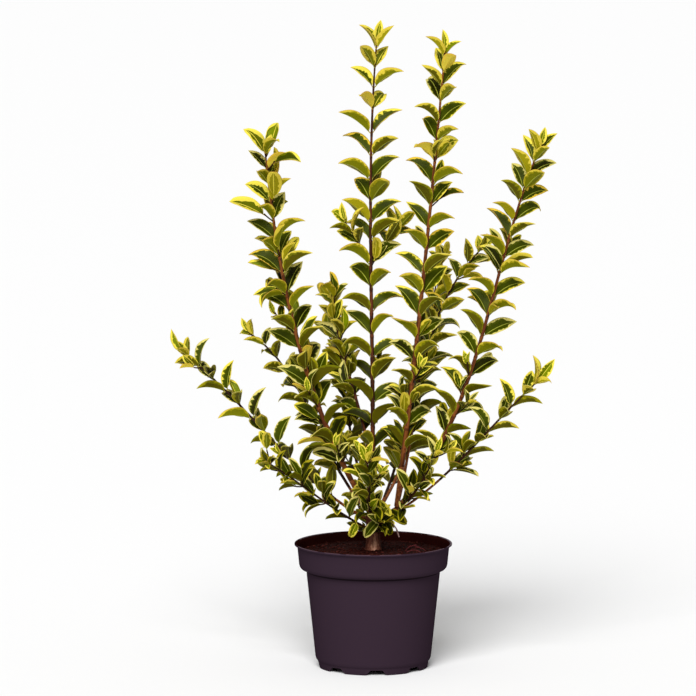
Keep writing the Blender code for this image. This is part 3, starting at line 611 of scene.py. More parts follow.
class Line:
    """A smooth line with a foot, two handles and a tip, walked by distance."""

    def __init__(self, foot, bend, reach, tip, unit=MM):
        knots = [Vector(point) * unit for point in (foot, bend, reach, tip)]
        self.points = [self.bezier(knots, i / LINE_STEPS) for i in range(LINE_STEPS + 1)]
        self.far = [0.0]
        for a, b in zip(self.points, self.points[1:]):
            self.far.append(self.far[-1] + (b - a).length)
        self.length = self.far[-1]

    @staticmethod
    def bezier(knots, s):
        """The cubic Bezier point at s, from 0 at the foot to 1 at the tip."""
        r = 1 - s
        return (r**3 * knots[0] + 3 * s * r * r * knots[1]
                + 3 * s * s * r * knots[2] + s**3 * knots[3])

    def place(self, distance):
        """The point at a distance from the foot, and the line's direction there."""
        distance = min(max(distance, 0.0), self.length)
        index = int(np.searchsorted(self.far, distance)) - 1
        index = min(max(index, 0), len(self.points) - 2)
        a = self.points[index]
        b = self.points[index + 1]
        share = (distance - self.far[index]) / (self.far[index + 1] - self.far[index])
        return a.lerp(b, share), (b - a).normalized()


def outward(way, angle):
    """The direction across a line that is turned by an angle from the picture's plane."""
    side = Vector((1, 0, 0)) - way.x * way
    side.normalize()
    return math.cos(angle) * side + math.sin(angle) * way.cross(side)


def mesh_parts(mesh):
    """A mesh's corners and faces, for testing what touches what."""
    corners = [vertex.co.copy() for vertex in mesh.vertices]
    return corners, [tuple(face.vertices) for face in mesh.polygons]


def merged_parts(mesh, distance):
    """A mesh's corners and faces with its doubles merged. The mesh is used up."""
    work = bmesh.new()
    work.from_mesh(mesh)
    bmesh.ops.remove_doubles(work, verts=work.verts, dist=distance)
    work.to_mesh(mesh)
    work.free()
    parts = mesh_parts(mesh)
    bpy.data.meshes.remove(mesh)
    return parts


def tube_parts(points, radii, sides):
    """The corners and faces of a closed tapering tube, made as a bevelled curve."""
    curve = bpy.data.curves.new("tube", "CURVE")
    curve.dimensions = "3D"
    curve.bevel_depth = MM
    curve.bevel_resolution = (sides - 4) // 2
    curve.use_fill_caps = True
    spline = curve.splines.new("POLY")
    spline.points.add(len(points) - 1)
    for knot, point, radius in zip(spline.points, points, radii):
        knot.co = (*point, 1)
        knot.radius = radius / MM
    tube = bpy.data.objects.new("tube", curve)
    bpy.context.scene.collection.objects.link(tube)
    bpy.context.view_layer.update()
    graph = bpy.context.evaluated_depsgraph_get()
    mesh = bpy.data.meshes.new_from_object(tube.evaluated_get(graph))
    bpy.data.objects.remove(tube)
    bpy.data.curves.remove(curve)
    return merged_parts(mesh, 1e-6)


def tree_of(pieces):
    """One search tree over many pieces."""
    corners = []
    faces = []
    for some_corners, some_faces in pieces:
        start = len(corners)
        corners.extend(some_corners)
        faces.extend(tuple(start + i for i in face) for face in some_faces)
    return BVHTree.FromPolygons(corners, faces)


def touches(parts, tree):
    """Whether a piece's faces meet those in a search tree."""
    return bool(BVHTree.FromPolygons(*parts).overlap(tree))


def leave_limbs(line, radius, limbs):
    """The distance along a line from which on it is clear of the limbs around its foot."""
    tree = tree_of(limbs)
    for number in range(int(CROWDED / CLEAR_STEP), -1, -1):
        point, way = line.place(number * CLEAR_STEP)
        ring = [point + radius * outward(way, math.tau * i / LIMB_SIDES)
                for i in range(LIMB_SIDES)]
        if min(tree.find_nearest(place)[3] for place in ring + [point]) < GAP:
            return (number + 1) * CLEAR_STEP
    return 0.0


# %% Stems, twigs and where the pairs stand
Stalk = namedtuple(
    "Stalk", "line, start, end, radius_at, leaf, step, top, turns, drift, first, shrink")
Wish = namedtuple("Wish", "place, way, turn, length, opening, droop, roll, number")


def pair_marks(stalk):
    """Distances from a stalk's tip at which pairs of leaves stand, closer near the tip."""
    marks = []
    distance = TIP_PAIR * MM
    while distance < stalk.end - stalk.start:
        number = len(marks)
        marks.append(distance)
        if number < len(stalk.top):
            distance += stalk.top[number] * MM
        else:
            distance += stalk.step * (1 - CLOSE_SHRINK * CLOSE_FADE**number)
    return marks


def stem_radius(thick, length):
    """A rule for a stem's radius, from its foot's diameter down to the thin tip."""
    def radius_at(distance):
        share = min(max(distance / length, 0.0), 1.0)
        return 0.5 * (THIN + (thick - THIN) * (1 - share) ** STEM_TAPER) * MM
    return radius_at


def stalk_points(stalk):
    """The points and radii of a stem or twig: its ends, and between every second pair."""
    places = sorted(stalk.end - mark for mark in pair_marks(stalk))
    marks = [(a + b) / 2 for a, b in zip(places[::2], places[1::2])]
    marks = [mark for mark in marks
             if stalk.start + PAIR_CLEAR < mark < stalk.end - PAIR_CLEAR]
    marks = [stalk.start] + marks + [stalk.end]
    points = [stalk.line.place(mark)[0] for mark in marks]
    return points, [stalk.radius_at(mark) for mark in marks]


def side_twig(main, at, tip, leaf, step, turn):
    """A twig that leaves a stem at a distance and bends up to its tip."""
    root = main.line.place(at)[0]
    span = tip - root
    bend, reach = (root + share * span - sag * span.length * UP
                   for share, sag in zip(TWIG_HANDLES, TWIG_SAG))
    line = Line(root, bend, reach, tip, unit=1)
    return Stalk(line, 0.0, line.length, stem_radius(TWIG_THICK, line.length), leaf, step,
                 (), (turn, turn + 90), 0.0, TWIG_BARE, TIP_SHRINK)


def grow_twigs(spec, main, chance):
    """The twigs on a shoot's stem: the stated longer ones, and short ones by chance."""
    twigs = []
    for at, tip in spec.sides:
        twigs.append(side_twig(main, at * main.line.length, Vector(tip) * MM,
                               SIDE_LEAF * spec.leaf * MM, SIDE_STEP * MM, TWIG_TURN))
    places = [main.end - mark for mark in pair_marks(main)]
    places = [place for place in places if place > main.start + main.first]
    lower = sorted(places)[: max(int(SPUR_REACH * len(places)), 1)]
    for at in chance.sample(lower, min(spec.spurs, len(lower))):
        root, way = main.line.place(at)
        out = outward(way, chance.uniform(0, math.tau))
        aim = (way + SPUR_OUT * out + SPUR_UP * UP).normalized()
        tip = root + aim * chance.uniform(*SPUR_LENGTH) * MM
        twigs.append(side_twig(main, at, tip, SPUR_LEAF * spec.leaf * MM, SPUR_STEP * MM,
                               chance.uniform(0, 90)))
    return twigs


def pair_turn(stalk, number):
    """The direction of a pair in degrees: as listed, then by turns like the last two."""
    past = number - len(stalk.turns) + 1
    if past <= 0:
        return stalk.turns[number]
    return stalk.turns[-1 - past % 2] + past * stalk.drift


def grow_leaves(stalk, chance):
    """Every leaf that the rule puts on a stem or twig."""
    wanted = []
    for number, mark in enumerate(pair_marks(stalk)):
        at = stalk.end - mark
        if at < stalk.start + stalk.first:
            break
        place, way = stalk.line.place(at)
        grown = 1 - stalk.shrink * TIP_FADE**number
        older = 1 - FOOT_SHRINK * (mark / stalk.line.length) ** 2
        turn = math.radians(pair_turn(stalk, number))
        roll = ROLL_LEAST + (ROLL - ROLL_LEAST) * math.cos(turn) ** 2
        roll = math.copysign(roll, math.sin(2 * turn))
        turn += math.radians(chance.uniform(-TURN_STRAY, TURN_STRAY))
        for half in (0, math.pi):
            length = stalk.leaf * grown * older * chance.uniform(*LENGTH_STRAY)
            opening = OPENING - OPENING_SHUT * OPENING_FADE**number
            opening += chance.uniform(-OPENING_STRAY, OPENING_STRAY)
            droop = opening + BEND - BEND_SHUT * BEND_FADE**number
            droop += chance.uniform(*BEND_STRAY)
            spin = roll + chance.uniform(-ROLL_STRAY, ROLL_STRAY)
            wanted.append(Wish(place, way, turn + half, length, math.radians(opening),
                               math.radians(droop), math.radians(spin), number))
    return wanted


# %% Where a leaf lies, and whether it has room


def leaf_sections(place, way, side, up, length, opening, droop, roll):
    """Where a leaf's sections lie: each one's midrib point, normal and direction across."""
    point = place.copy()
    way = (way + LEAF_LIFT * UP).normalized()
    side = (side - side.dot(way) * way).normalized()
    sections = []
    for i in range(LEAF_STEPS + 1):
        angle = opening + (droop - opening) * (i / LEAF_STEPS) ** BEND_LATE
        ahead = math.cos(angle) * way + math.sin(angle) * side
        normal = math.sin(angle) * way - math.cos(angle) * side
        normal = (normal + up * (UP - ahead.z * ahead)).normalized()
        over = ahead.cross(normal)
        spin = roll * min(i / ROLL_RISE, 1)
        sections.append((point.copy(), math.cos(spin) * normal + math.sin(spin) * over,
                         math.cos(spin) * over - math.sin(spin) * normal))
        point += ahead * length / LEAF_STEPS
    return sections


def leaf_trial(sections, length, shares, shy):
    """A leaf as it is tried for room: wider than it is, from its first section on."""
    corners = []
    thick = max(LEAF_THICK * length, LEAST_THICK) * shy
    for share, width in shares:
        point, normal, over = sections[round(share * (len(sections) - 1))]
        half = width * LEAF_WIDTH * length * shy
        out = half * math.cos(LEAF_FOLD) * over
        rise = half * math.sin(LEAF_FOLD) * normal
        corners.extend((point + out + rise, point + thick / 2 * normal,
                        point - out + rise, point - thick / 2 * normal))
    corners.append(sections[-1][0])
    tip = len(corners) - 1
    faces = []
    for ring in range(0, tip - 4, 4):
        for i in range(4):
            j = (i + 1) % 4
            faces.append((ring + i, ring + j, ring + j + 4, ring + i + 4))
    faces.extend((tip - 4 + i, tip - 4 + (i + 1) % 4, tip) for i in range(4))
    return corners, faces


def fit_leaf(wish, others, own, shy=SHY):
    """A leaf's sections and length, turned or made smaller until it touches nothing."""
    lying = 1 - abs(wish.way.z)
    for size in TRY_SIZES:
        for shift in TRY_TURNS:
            out = outward(wish.way, wish.turn + math.radians(shift))
            length = wish.length * size
            sections = leaf_sections(wish.place, wish.way, out, LEAF_FACE_UP * lying, length,
                                     wish.opening, wish.droop, wish.roll)
            blade = leaf_trial(sections, length, TRIAL_SECTIONS, shy)
            whole = leaf_trial(sections, length, WHOLE_SECTIONS, shy)
            if not (own and touches(blade, own) or touches(whole, others)):
                return sections, length, blade, whole
    return None


# %% [markdown]
# ## Settling the wood
# Boughs, stems and twigs are settled first, because the leaves have to keep clear of
# all of them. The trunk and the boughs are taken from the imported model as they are.

# %% Stems and twigs


def node_parts(name):
    """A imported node's corners and faces, its loose triangles merged."""
    return merged_parts(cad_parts[name].data.copy(), 1e-7)


def others_of(woods, number):
    """The pieces of every shoot but one."""
    return [piece for i, wood in enumerate(woods) if i != number for piece in wood]


limbs = [node_parts("trunk"), node_parts("limb_right")]
bough_spans = []
groups = []
woods = []
for spec in SHOOTS:
    line = Line(*spec.line)
    radius_at = stem_radius(spec.thick, line.length)
    start = leave_limbs(line, radius_at(0), limbs + [wood[0] for wood in woods])
    enter = max(spec.bare * line.length, start)
    if spec.bare:
        bough_spans.append((spec.name, line, radius_at, start, enter))
        limbs.append(node_parts("bough_" + spec.name))
        enter += GAP / 2
    stem = Stalk(line, enter, line.length, radius_at, spec.leaf * MM, spec.step * MM,
                 spec.top, spec.turns, spec.drift, STEM_BARE, spec.shrink)
    groups.append([stem])
    woods.append([tube_parts(*stalk_points(stem), STEM_SIDES)])
chances = [random.Random(SEED + number) for number in range(len(SHOOTS))]
for number, spec in enumerate(SHOOTS):
    others = tree_of(limbs + others_of(woods, number))
    for twig in grow_twigs(spec, groups[number][0], chances[number]):
        points, radii = stalk_points(twig)
        wide = tube_parts(points, [radius + 2 * GAP for radius in radii], STEM_SIDES)
        if not touches(wide, others):
            groups[number].append(twig)
            woods[number].append(tube_parts(points, radii, STEM_SIDES))
print("stems and twigs:", sum(len(group) for group in groups))

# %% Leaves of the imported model's rule
Leaf = namedtuple("Leaf", "sections, length, number, stalk")
solid = [node_parts("pot"), node_parts("soil")] + limbs
leaves = []
blades_of = []
wholes = []
for number, spec in enumerate(SHOOTS):
    others = tree_of(solid + others_of(wholes, number) + others_of(woods, number))
    blades = []
    kept = []
    wholes.append([])
    for stalk in groups[number]:
        for wish in grow_leaves(stalk, chances[number]):
            found = fit_leaf(wish, others, tree_of(blades) if blades else None)
            if found:
                kept.append(Leaf(found[0], found[1], wish.number, stalk))
                blades.append(found[2])
                wholes[number].append(found[3])
    leaves.append(kept)
    blades_of.append(blades)
print("leaves by the rule:", sum(len(kept) for kept in leaves))

# %% [markdown]
# ## Hanging leaves
# Round the top of the trunk a few old leaves hang out over the soil on short twigs, face
# to the light. There is no rule in where they are, so they are laid one by one.

# %% Leaves that hang in front of the trunk
HANGING = (
    # root, tip, how far the blade bows to the front, in mm, and how broad it is
    ((-19.5, -24, 179.0), (-27.5, -27, 161.5), 3.0, 1.55),
    ((7.0, -30, 184.0), (-10.5, -33, 162.0), 4.0, 1.15),
    ((11.5, -26, 184.0), (21.5, -31, 163.0), 3.0, 1.25),
    ((15.0, -29, 195.0), (40.0, -34, 178.0), 4.0, 1.08),
    ((0.0, -36, 209.0), (21.0, -43, 189.5), 5.0, 1.08),
)
HANGING_FROM = 0.30  # place on the low front twig, as a share of its length
HANGING_FACE = Vector((0, -1, 0.35))
HANGING_PAIR = 6  # they look as old as this pair below a tip


def hanging_leaf(root, tip, bow, broad, stalk):
    """A leaf from root to tip, its face to the front."""
    span = tip - root
    ahead = span.normalized()
    face = (HANGING_FACE - HANGING_FACE.dot(ahead) * ahead).normalized()
    sections = []
    for i in range(LEAF_STEPS + 1):
        share = i / LEAF_STEPS
        lean = bow * MM / span.length * 4 * (1 - 2 * share)
        sections.append((root + share * span + 4 * bow * MM * share * (1 - share) * face,
                         (face - lean * ahead).normalized(), ahead.cross(face)))
    return Leaf(sections, span.length * broad, HANGING_PAIR, stalk)


front = [spec.name for spec in SHOOTS].index("foot_front")
main = groups[front][0]
for root, tip, bow, broad in HANGING:
    root = Vector(root) * MM
    tip = Vector(tip) * MM
    twig = side_twig(main, HANGING_FROM * main.line.length, root, 0, SIDE_STEP * MM, 0)
    leaf = hanging_leaf(root, tip, bow, broad, twig._replace(first=0.0))
    leaves[front].append(leaf)
    groups[front].append(leaf.stalk)
    blades_of[front].append(leaf_trial(leaf.sections, leaf.length, TRIAL_SECTIONS, 1))
    wholes[front].append(blades_of[front][-1])
print("hanging leaves:", len(HANGING))

# %% [markdown]
# ## Growth in the axils
# Where a leaf meets its stem a bud waits, and on a well fed privet many buds have opened
# into a pair or two of smaller leaves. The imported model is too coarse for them. They
# grow here by the same rule on finer twigs, within the reach of the big leaves. Each
# shoot has its own share of open buds, because the low ones branch the most.

# %% Finer twigs and their leaves
FINE_SEED = 5207
FINE_SHY = 0.9
FINE_STEP = 12.5
FINE_FIRST = 2.5
FINE_TURN = 34  # degrees that a twig may stray from its leaf's direction
FINE_LEAN = (0.4, 1.3)
FINE_UP = 0.2
FINE_TURNS = (20, 160)  # direction of its first pair
FINE_TRIES = 5
FINE_LOW = 163  # no tip of a small leaf hangs lower than this
BUD_CLEAR = 2 * MM  # from a stem's foot to its first bud
Fine = namedtuple("Fine", "share, skip, size, reach")
FINE_OF = {
    # share of buds that are open, pairs without any below the tip, leaf's share, length in mm
    "centre": Fine(0.25, 8, (0.8, 1.3), (6, 18)),
    "centre_right": Fine(0.30, 7, (0.8, 1.3), (6, 18)),
    "right": Fine(0.45, 5, (0.9, 1.4), (6, 16)),
    "left": Fine(1.00, 1, (1.1, 1.6), (5, 20)),
    "left_low": Fine(0.28, 1, (0.9, 1.5), (4, 13)),
    "right_low": Fine(0.32, 1, (0.9, 1.4), (4, 13)),
    "left_back": Fine(0.50, 0, (0.7, 1.1), (4, 10)),
    "right_mid": Fine(0.40, 2, (0.8, 1.3), (5, 14)),
}
FINE_OTHER = Fine(0.80, 1, (0.9, 1.5), (6, 18))


def axil_twig(fine, main, at, turn, chance):
    """A short twig in the axil of a leaf, leaning out between the leaf and the stem."""
    root, way = main.line.place(at)
    out = outward(way, turn + math.radians(chance.uniform(-FINE_TURN, FINE_TURN)))
    aim = (way + chance.uniform(*FINE_LEAN) * out + FINE_UP * UP).normalized()
    tip = root + aim * chance.uniform(*fine.reach) * MM
    leaf = main.leaf * chance.uniform(*fine.size)
    twig = side_twig(main, at, tip, leaf, FINE_STEP * MM, chance.uniform(*FINE_TURNS))
    return twig._replace(first=FINE_FIRST * MM)


def within_reach(sections):
    """Whether a leaf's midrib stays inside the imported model's box and over the soil."""
    low, high = cad_box
    inside = all(low[i] < point[i] < high[i] for point, *_ in sections for i in range(3))
    return inside and sections[-1][0].z > FINE_LOW * MM


def open_buds(fine, main, chance):
    """Distances and directions of the buds of a stem that have opened."""
    for number, mark in enumerate(pair_marks(main)[fine.skip:], fine.skip):
        for half in (0, math.pi):
            if chance.random() < fine.share and main.end - mark > main.start + BUD_CLEAR:
                yield main.end - mark, math.radians(pair_turn(main, number)) + half


fine_count = 0
for number, spec in enumerate(SHOOTS):
    chance = random.Random(FINE_SEED + number)
    fine = FINE_OF.get(spec.name, FINE_OTHER)
    others = tree_of(solid + others_of(wholes, number) + others_of(woods, number))
    blades = blades_of[number]
    for at, turn in list(open_buds(fine, groups[number][0], chance)):
        for _ in range(FINE_TRIES):
            twig = axil_twig(fine, groups[number][0], at, turn, chance)
            wood = tube_parts(*stalk_points(twig), STEM_SIDES)
            if touches(wood, others) or touches(wood, tree_of(blades)):
                continue
            born = []
            for wish in grow_leaves(twig, chance):
                found = fit_leaf(wish, others, tree_of(blades), FINE_SHY)
                if found and within_reach(found[0]):
                    born.append(Leaf(found[0], found[1], wish.number, twig))
                    blades.append(found[2])
                    wholes[number].append(found[3])
            if born:
                leaves[number].extend(born)
                groups[number].append(twig)
                woods[number].append(wood)
                fine_count += len(born)
                break
print("smaller leaves:", fine_count)

# %% [markdown]
# ## One leaf, drawn flat
# A leaf is drawn once as a flat blank and then bent to every place. A grid has its
# columns pushed to where the colours change, so that the toothed edge of the green
# follows the mesh and stays sharp. Solidify gives the blade its back, and moves the
# faces there to the finishes of the underside. Six blanks for full leaves and six for
# small ones, with more or less green, keep neighbours from looking alike.

# %% Blanks
BLANK_SEED = 1907
COLUMNS = 6  # of a half blade
COLUMN_PARTS = (0, 1, 1, 2, 3, 3)  # the part of each, from the midrib out
BACK_PARTS = 4  # the underside's parts start with this one
RIM_PART = 8
TIP_FROM = 0.93  # past this share of the length the tip is all gold
BLANK_ROWS = 24
SMALL_ROWS = 15  # rows of the small leaves' blanks
PETIOLE = 0.115  # share of the length that is stalk
PETIOLE_WIDTH = 0.075
POINTED = (3.1, 0.66, 1.03)  # scale and exponents of the outline of a young, pointed leaf
BLUNT = (2.2, 0.54, 0.62)  # and of an old or small one
ROW_SPREAD = 1.06  # rows lie closer near the foot
GREEN_FADE = (1.16, 0.36)  # how much of the green is there at the foot, and less at the tip
GREEN_LIMITS = (0.14, 0.95)
TOOTH = 1.2  # how uneven the teeth are
INNER_GREEN = (0.62, 0.90)  # the deep green's share of all green
LEAF_PLY = 0.010  # thickness, of the length
HALVES = (-0.62, 0.38)  # how much more or less green a half may have, of the gold
BLANKS = (
    # share of the half width that is green, and how deep the teeth are
    (0.46, 0.26), (0.58, 0.28), (0.68, 0.28), (0.78, 0.24), (0.88, 0.14), (0.94, 0.06),
)


def half_width(s, outline):
    """The blade's half width at a share of the leaf's length, 1 where it is widest."""
    if s <= PETIOLE:
        return PETIOLE_WIDTH
    u = (s - PETIOLE) / (1 - PETIOLE)
    scale, foot, tip = outline
    return max(scale * u**foot * (1 - u) ** tip, PETIOLE_WIDTH * (1 - u))


def leaf_blank(green, teeth, row_count, outline, chance):
    """A flat leaf, one unit long, whose half width is one unit at its widest."""
    bpy.ops.object.select_all(action="DESELECT")
    bpy.ops.mesh.primitive_grid_add(x_subdivisions=2 * COLUMNS, y_subdivisions=row_count, size=2)
    blank = bpy.context.object
    rows = [0.0, 0.06, PETIOLE]
    count = row_count + 1 - len(rows)
    rows += [PETIOLE + (1 - PETIOLE) * ((i + 1) / count) ** ROW_SPREAD for i in range(count)]
    edges = []
    sides = [1 + (1 - green) * chance.uniform(*HALVES) for _ in range(2)]
    for s in rows:
        u = max(s - PETIOLE, 0) / (1 - PETIOLE)
        full = green * (GREEN_FADE[0] - GREEN_FADE[1] * u)
        full *= min(1.0, (1.8 + green) * (1 - u) ** 0.9)
        pair = []
        for side in sides:
            outer = full * side * (1 + teeth * chance.uniform(-TOOTH, TOOTH))
            outer = min(max(outer, GREEN_LIMITS[0]), GREEN_LIMITS[1])
            inner = outer * chance.uniform(*INNER_GREEN)
            pair.append((0.0, 0.05, inner / 2 + 0.03, inner, outer, (1 + outer) / 2, 1.0))
        edges.append(pair)
    for vertex in blank.data.vertices:
        row = round((vertex.co.y + 1) / 2 * row_count)
        column = round(vertex.co.x * COLUMNS)
        share = edges[row][column > 0][abs(column)]
        vertex.co.x = math.copysign(share, column) * half_width(rows[row], outline)
        vertex.co.y = rows[row]
    for number, face in enumerate(blank.data.polygons):
        row, column = divmod(number, 2 * COLUMNS)
        column -= COLUMNS
        part = COLUMN_PARTS[column if column >= 0 else -1 - column]
        if rows[row] < PETIOLE:
            part = COLUMN_PARTS[0]
        elif rows[row] > TIP_FROM and part:
            part = COLUMN_PARTS[-1]
        face.material_index = part
    for _ in range(RIM_PART + 1):
        blank.data.materials.append(None)
    shape_with(blank, "SOLIDIFY", thickness=LEAF_PLY, offset=-1, material_offset=BACK_PARTS,
               material_offset_rim=RIM_PART)
    mesh = blank.data
    corners = np.array([vertex.co for vertex in mesh.vertices])
    faces = [tuple(face.vertices) for face in mesh.polygons]
    parts = [face.material_index for face in mesh.polygons]
    bpy.data.objects.remove(blank)
    return corners, faces, parts


chance = random.Random(BLANK_SEED)
blanks, small_blanks = ([leaf_blank(green, teeth, rows, outline, chance)
                         for green, teeth in BLANKS]
                        for rows, outline in ((BLANK_ROWS, POINTED), (SMALL_ROWS, BLUNT)))
print("faces of a blank:", len(blanks[0][1]), "and of a small one:", len(small_blanks[0][1]))

# %% [markdown]
# ## Bending the blanks
# A privet leaf is folded up along its midrib, and each half is slightly hollow. Its
# stalk leaves the stem steeply and the blade bends outwards, most of all near its tip.
# Margins wave a little, and no two leaves twist the same way.

# %% A leaf in its place
LEAF_SEED = 5721
LOW_LEAVES = 0.42  # metres above the ground, below which leaves are greener
BLUNT_LEAVES = 0.26  # and below which they are old and blunt
GOLDEN_LEAVES = 0.6  # and above which some are golden
SMALL_FIRST = 5 * MM  # a twig with its first pair nearer has small leaves
YOUNG_PAIRS = 2  # at a tip
YOUNG_SHARE = 0.75
GOLDEN_SHARE = 0.5  # of small leaves in the light that are young or golden
SHADED = (0.46, 1.6, 2.0)  # share in shade at the trunk, and less of it per metre up, out
SHADE_FROM = (0.05, 0.16)  # metres out and up from which it falls
OLD_PAIR = 8  # from this pair on below the tip leaves are old
AGE_RANGE = (3.4, 2.8)  # how many blanks age and chance reach over
WAVE = 0.07
TWIST = math.radians(14)
CURLED = 0.4  # share of leaves whose tip curls
CURL = (-1.7, 0.9)  # down and up, for the outer third
CURL_FROM = 0.66
FOLD_STRAY = (0.72, 1.08)
HOLLOW = 0.22  # how much each half of the blade is hollowed
WAVES = 1.6  # waves along a margin
WAVE_SHIFT = 1.7  # how far the two margins' waves are apart, in radians
VEIN_GAP = 6 * MM  # of the side veins, where they leave the midrib
VEIN_SLANT = 0.9


def bend_leaf(corners, leaf, chance):
    """A blank's corners laid along a leaf's sections, folded, waved and twisted."""
    share = corners[:, 1] * (len(leaf.sections) - 1)
    marks = np.arange(len(leaf.sections))
    spine, normal, over = (
        np.stack([np.interp(share, marks, [section[k][axis] for section in leaf.sections])
                  for axis in range(3)], axis=1) for k in range(3))
    curl = chance.uniform(*CURL) * (chance.random() < CURLED)
    spine = spine + leaf.length * curl * np.maximum(corners[:, 1:2] - CURL_FROM, 0) ** 2 * normal
    twist = chance.uniform(-TWIST, TWIST) * corners[:, 1:2] ** 2
    over, normal = (np.cos(twist) * over + np.sin(twist) * normal,
                    np.cos(twist) * normal - np.sin(twist) * over)
    wide = np.abs(corners[:, 0:1])
    fold = LEAF_FOLD * chance.uniform(*FOLD_STRAY)
    half = 0.5 * LEAF_WIDTH * leaf.length
    wave = WAVE * wide**2 * np.sin(math.tau * (WAVES * corners[:, 1:2] + chance.random())
                                   + WAVE_SHIFT * np.sign(corners[:, 0:1]))
    rise = math.sin(fold) * ((1 + HOLLOW) * wide - HOLLOW * wide**2) + wave
    return (spine + half * math.cos(fold) * corners[:, 0:1] * over
            + (half * rise + corners[:, 2:3] * leaf.length) * normal)


def leaf_tone(leaf, chance):
    """The tone of a leaf: young at the tips, shaded deep in the plant, mixed elsewhere."""
    place = leaf.sections[4][0]
    small = leaf.stalk.first < SMALL_FIRST
    if leaf.number < YOUNG_PAIRS and not small and chance.random() < YOUNG_SHARE:
        return "young"
    out = max(math.hypot(place.x, place.y) - SHADE_FROM[0], 0)
    up = place.z - SHADE_FROM[1]
    if chance.random() < SHADED[0] - SHADED[1] * up - SHADED[2] * out:
        return "shade"
    if small and chance.random() < GOLDEN_SHARE:
        return chance.choice(("golden", "young", "bright"))
    if place.z < LOW_LEAVES:
        return chance.choice(("olive", "olive", "deep", "bright"))
    last = "golden" if place.z > GOLDEN_LEAVES else "olive"
    return chance.choice(("bright", "bright", "warm", "deep", last))


def leaf_pattern(leaf, chance):
    """Which blank a leaf takes: much gold near the tips, a thin rim on older leaves."""
    age = min(leaf.number, OLD_PAIR) / OLD_PAIR
    choice = int(age * AGE_RANGE[0] + chance.uniform(0, AGE_RANGE[1]))
    if leaf.stalk.first < SMALL_FIRST or leaf.sections[6][0].z < BLUNT_LEAVES:
        return small_blanks[chance.choice((2, 3, 4, 5, 5))]
    return blanks[min(choice, len(BLANKS) - 1)]


def joined_mesh(name, pieces, finish_names):
    """One object from many pieces, each with its corners, faces and finish numbers."""
    corners, faces, kinds = zip(*pieces)
    starts = np.cumsum([0] + [len(part) for part in corners])
    mesh = bpy.data.meshes.new(name)
    every = [tuple(int(start) + i for i in face)
             for start, part in zip(starts, faces) for face in part]
    mesh.from_pydata(np.concatenate([np.array(part) for part in corners]).tolist(), [], every)
    piece = bpy.data.objects.new(name, mesh)
    give_finishes(piece, *finish_names)
    mesh.polygons.foreach_set("material_index", [kind for part in kinds for kind in part])
    bpy.context.scene.collection.objects.link(piece)
    mesh.shade_smooth()
    return piece


def leaves_piece(name, mass, chance):
    """All leaves of one mass as one piece, each with its blank, bend and tone."""
    pieces = []
    maps = []
    for leaf in mass:
        flat, faces, parts = leaf_pattern(leaf, chance)
        corners = bend_leaf(flat, leaf, chance)
        tone = TONES[leaf_tone(leaf, chance)].split()
        pieces.append((corners, faces, [FINISH_ORDER.index(tone[part]) for part in parts]))
        veins = flat[:, 1] * leaf.length / VEIN_GAP - VEIN_SLANT * np.abs(flat[:, 0])
        maps.append(np.stack([flat[:, 0], veins], axis=1))
    piece = joined_mesh(name, pieces, FINISH_ORDER)
    layer = piece.data.uv_layers.new(name="blade")
    loops = np.empty(len(piece.data.loops), int)
    piece.data.loops.foreach_get("vertex_index", loops)
    layer.data.foreach_set("uv", np.concatenate(maps)[loops].ravel())
    return piece


leaf_count = 0
for number, spec in enumerate(SHOOTS):
    chance = random.Random(LEAF_SEED + number)
    piece = leaves_piece(spec.name + "_leaves", leaves[number], chance)
    hand_over(piece, ["foliage_" + spec.name])
    leaf_count += len(leaves[number])
print("leaves:", leaf_count)

# %% [markdown]
# ## Stems and twigs
# A stem swells a little at each pair of leaves and thins towards its tip. A bevelled
# curve gives that in one step: its points carry the radius.

# %% Stems of the masses
TWIG_SIDES = 10
KNOT = 1.14  # how much thicker a stem is at a pair of leaves
KNOT_REACH = 3 * MM  # and how far from it
KNOT_MARKS = (-3.0, -1.0, 0.4, 2.6)
BARKS = ("red_bark_dark", "red_bark", "orange_bark", "black_bark")
STREAKS = 260  # how fine the streaks of the other bark are
STREAKED = 0.05  # noise above which a face is in a streak
DARK_TONES = (3, 0)
BARK_TONES = {"centre": (0, 1), "centre_right": (2, 1), "left": (2, 1), "right": (1, 2),
              "left_inner": (0, 1)}


def bark_tube(stalk):
    """A stem or twig with a swelling at each pair of leaves."""
    pairs = [stalk.end - mark for mark in pair_marks(stalk)]
    marks = {stalk.start, stalk.end}
    for at in pairs:
        marks.update(at + shift * MM for shift in KNOT_MARKS)
    marks = sorted(mark for mark in marks if stalk.start <= mark <= stalk.end)
    radii = []
    for mark in marks:
        near = min(abs(mark - at) for at in pairs)
        radii.append(stalk.radius_at(mark) * (1 + (KNOT - 1) * max(1 - near / KNOT_REACH, 0)))
    return tube_parts([stalk.line.place(mark)[0] for mark in marks], radii, TWIG_SIDES)


for number, spec in enumerate(SHOOTS):
    pieces = []
    for stalk in groups[number]:
        corners, faces = bark_tube(stalk)
        main = stalk is groups[number][0]
        tones = BARK_TONES.get(spec.name, DARK_TONES) if main else DARK_TONES
        kinds = [tones[noise.noise(corners[face[0]] * STREAKS) > STREAKED] for face in faces]
        pieces.append((corners, faces, kinds))
    piece = joined_mesh(spec.name + "_twigs", pieces, BARKS)
    hand_over(piece, ["foliage_" + spec.name])

# %% [markdown]
# ## Trunk and boughs
# On the real plant the boughs grow out of the trunk without a seam. Tubes that reach
# into each other become one skin with a voxel remesh, smoothing rounds the forks, and
# noise that is stretched along the wood gives the bark its relief.

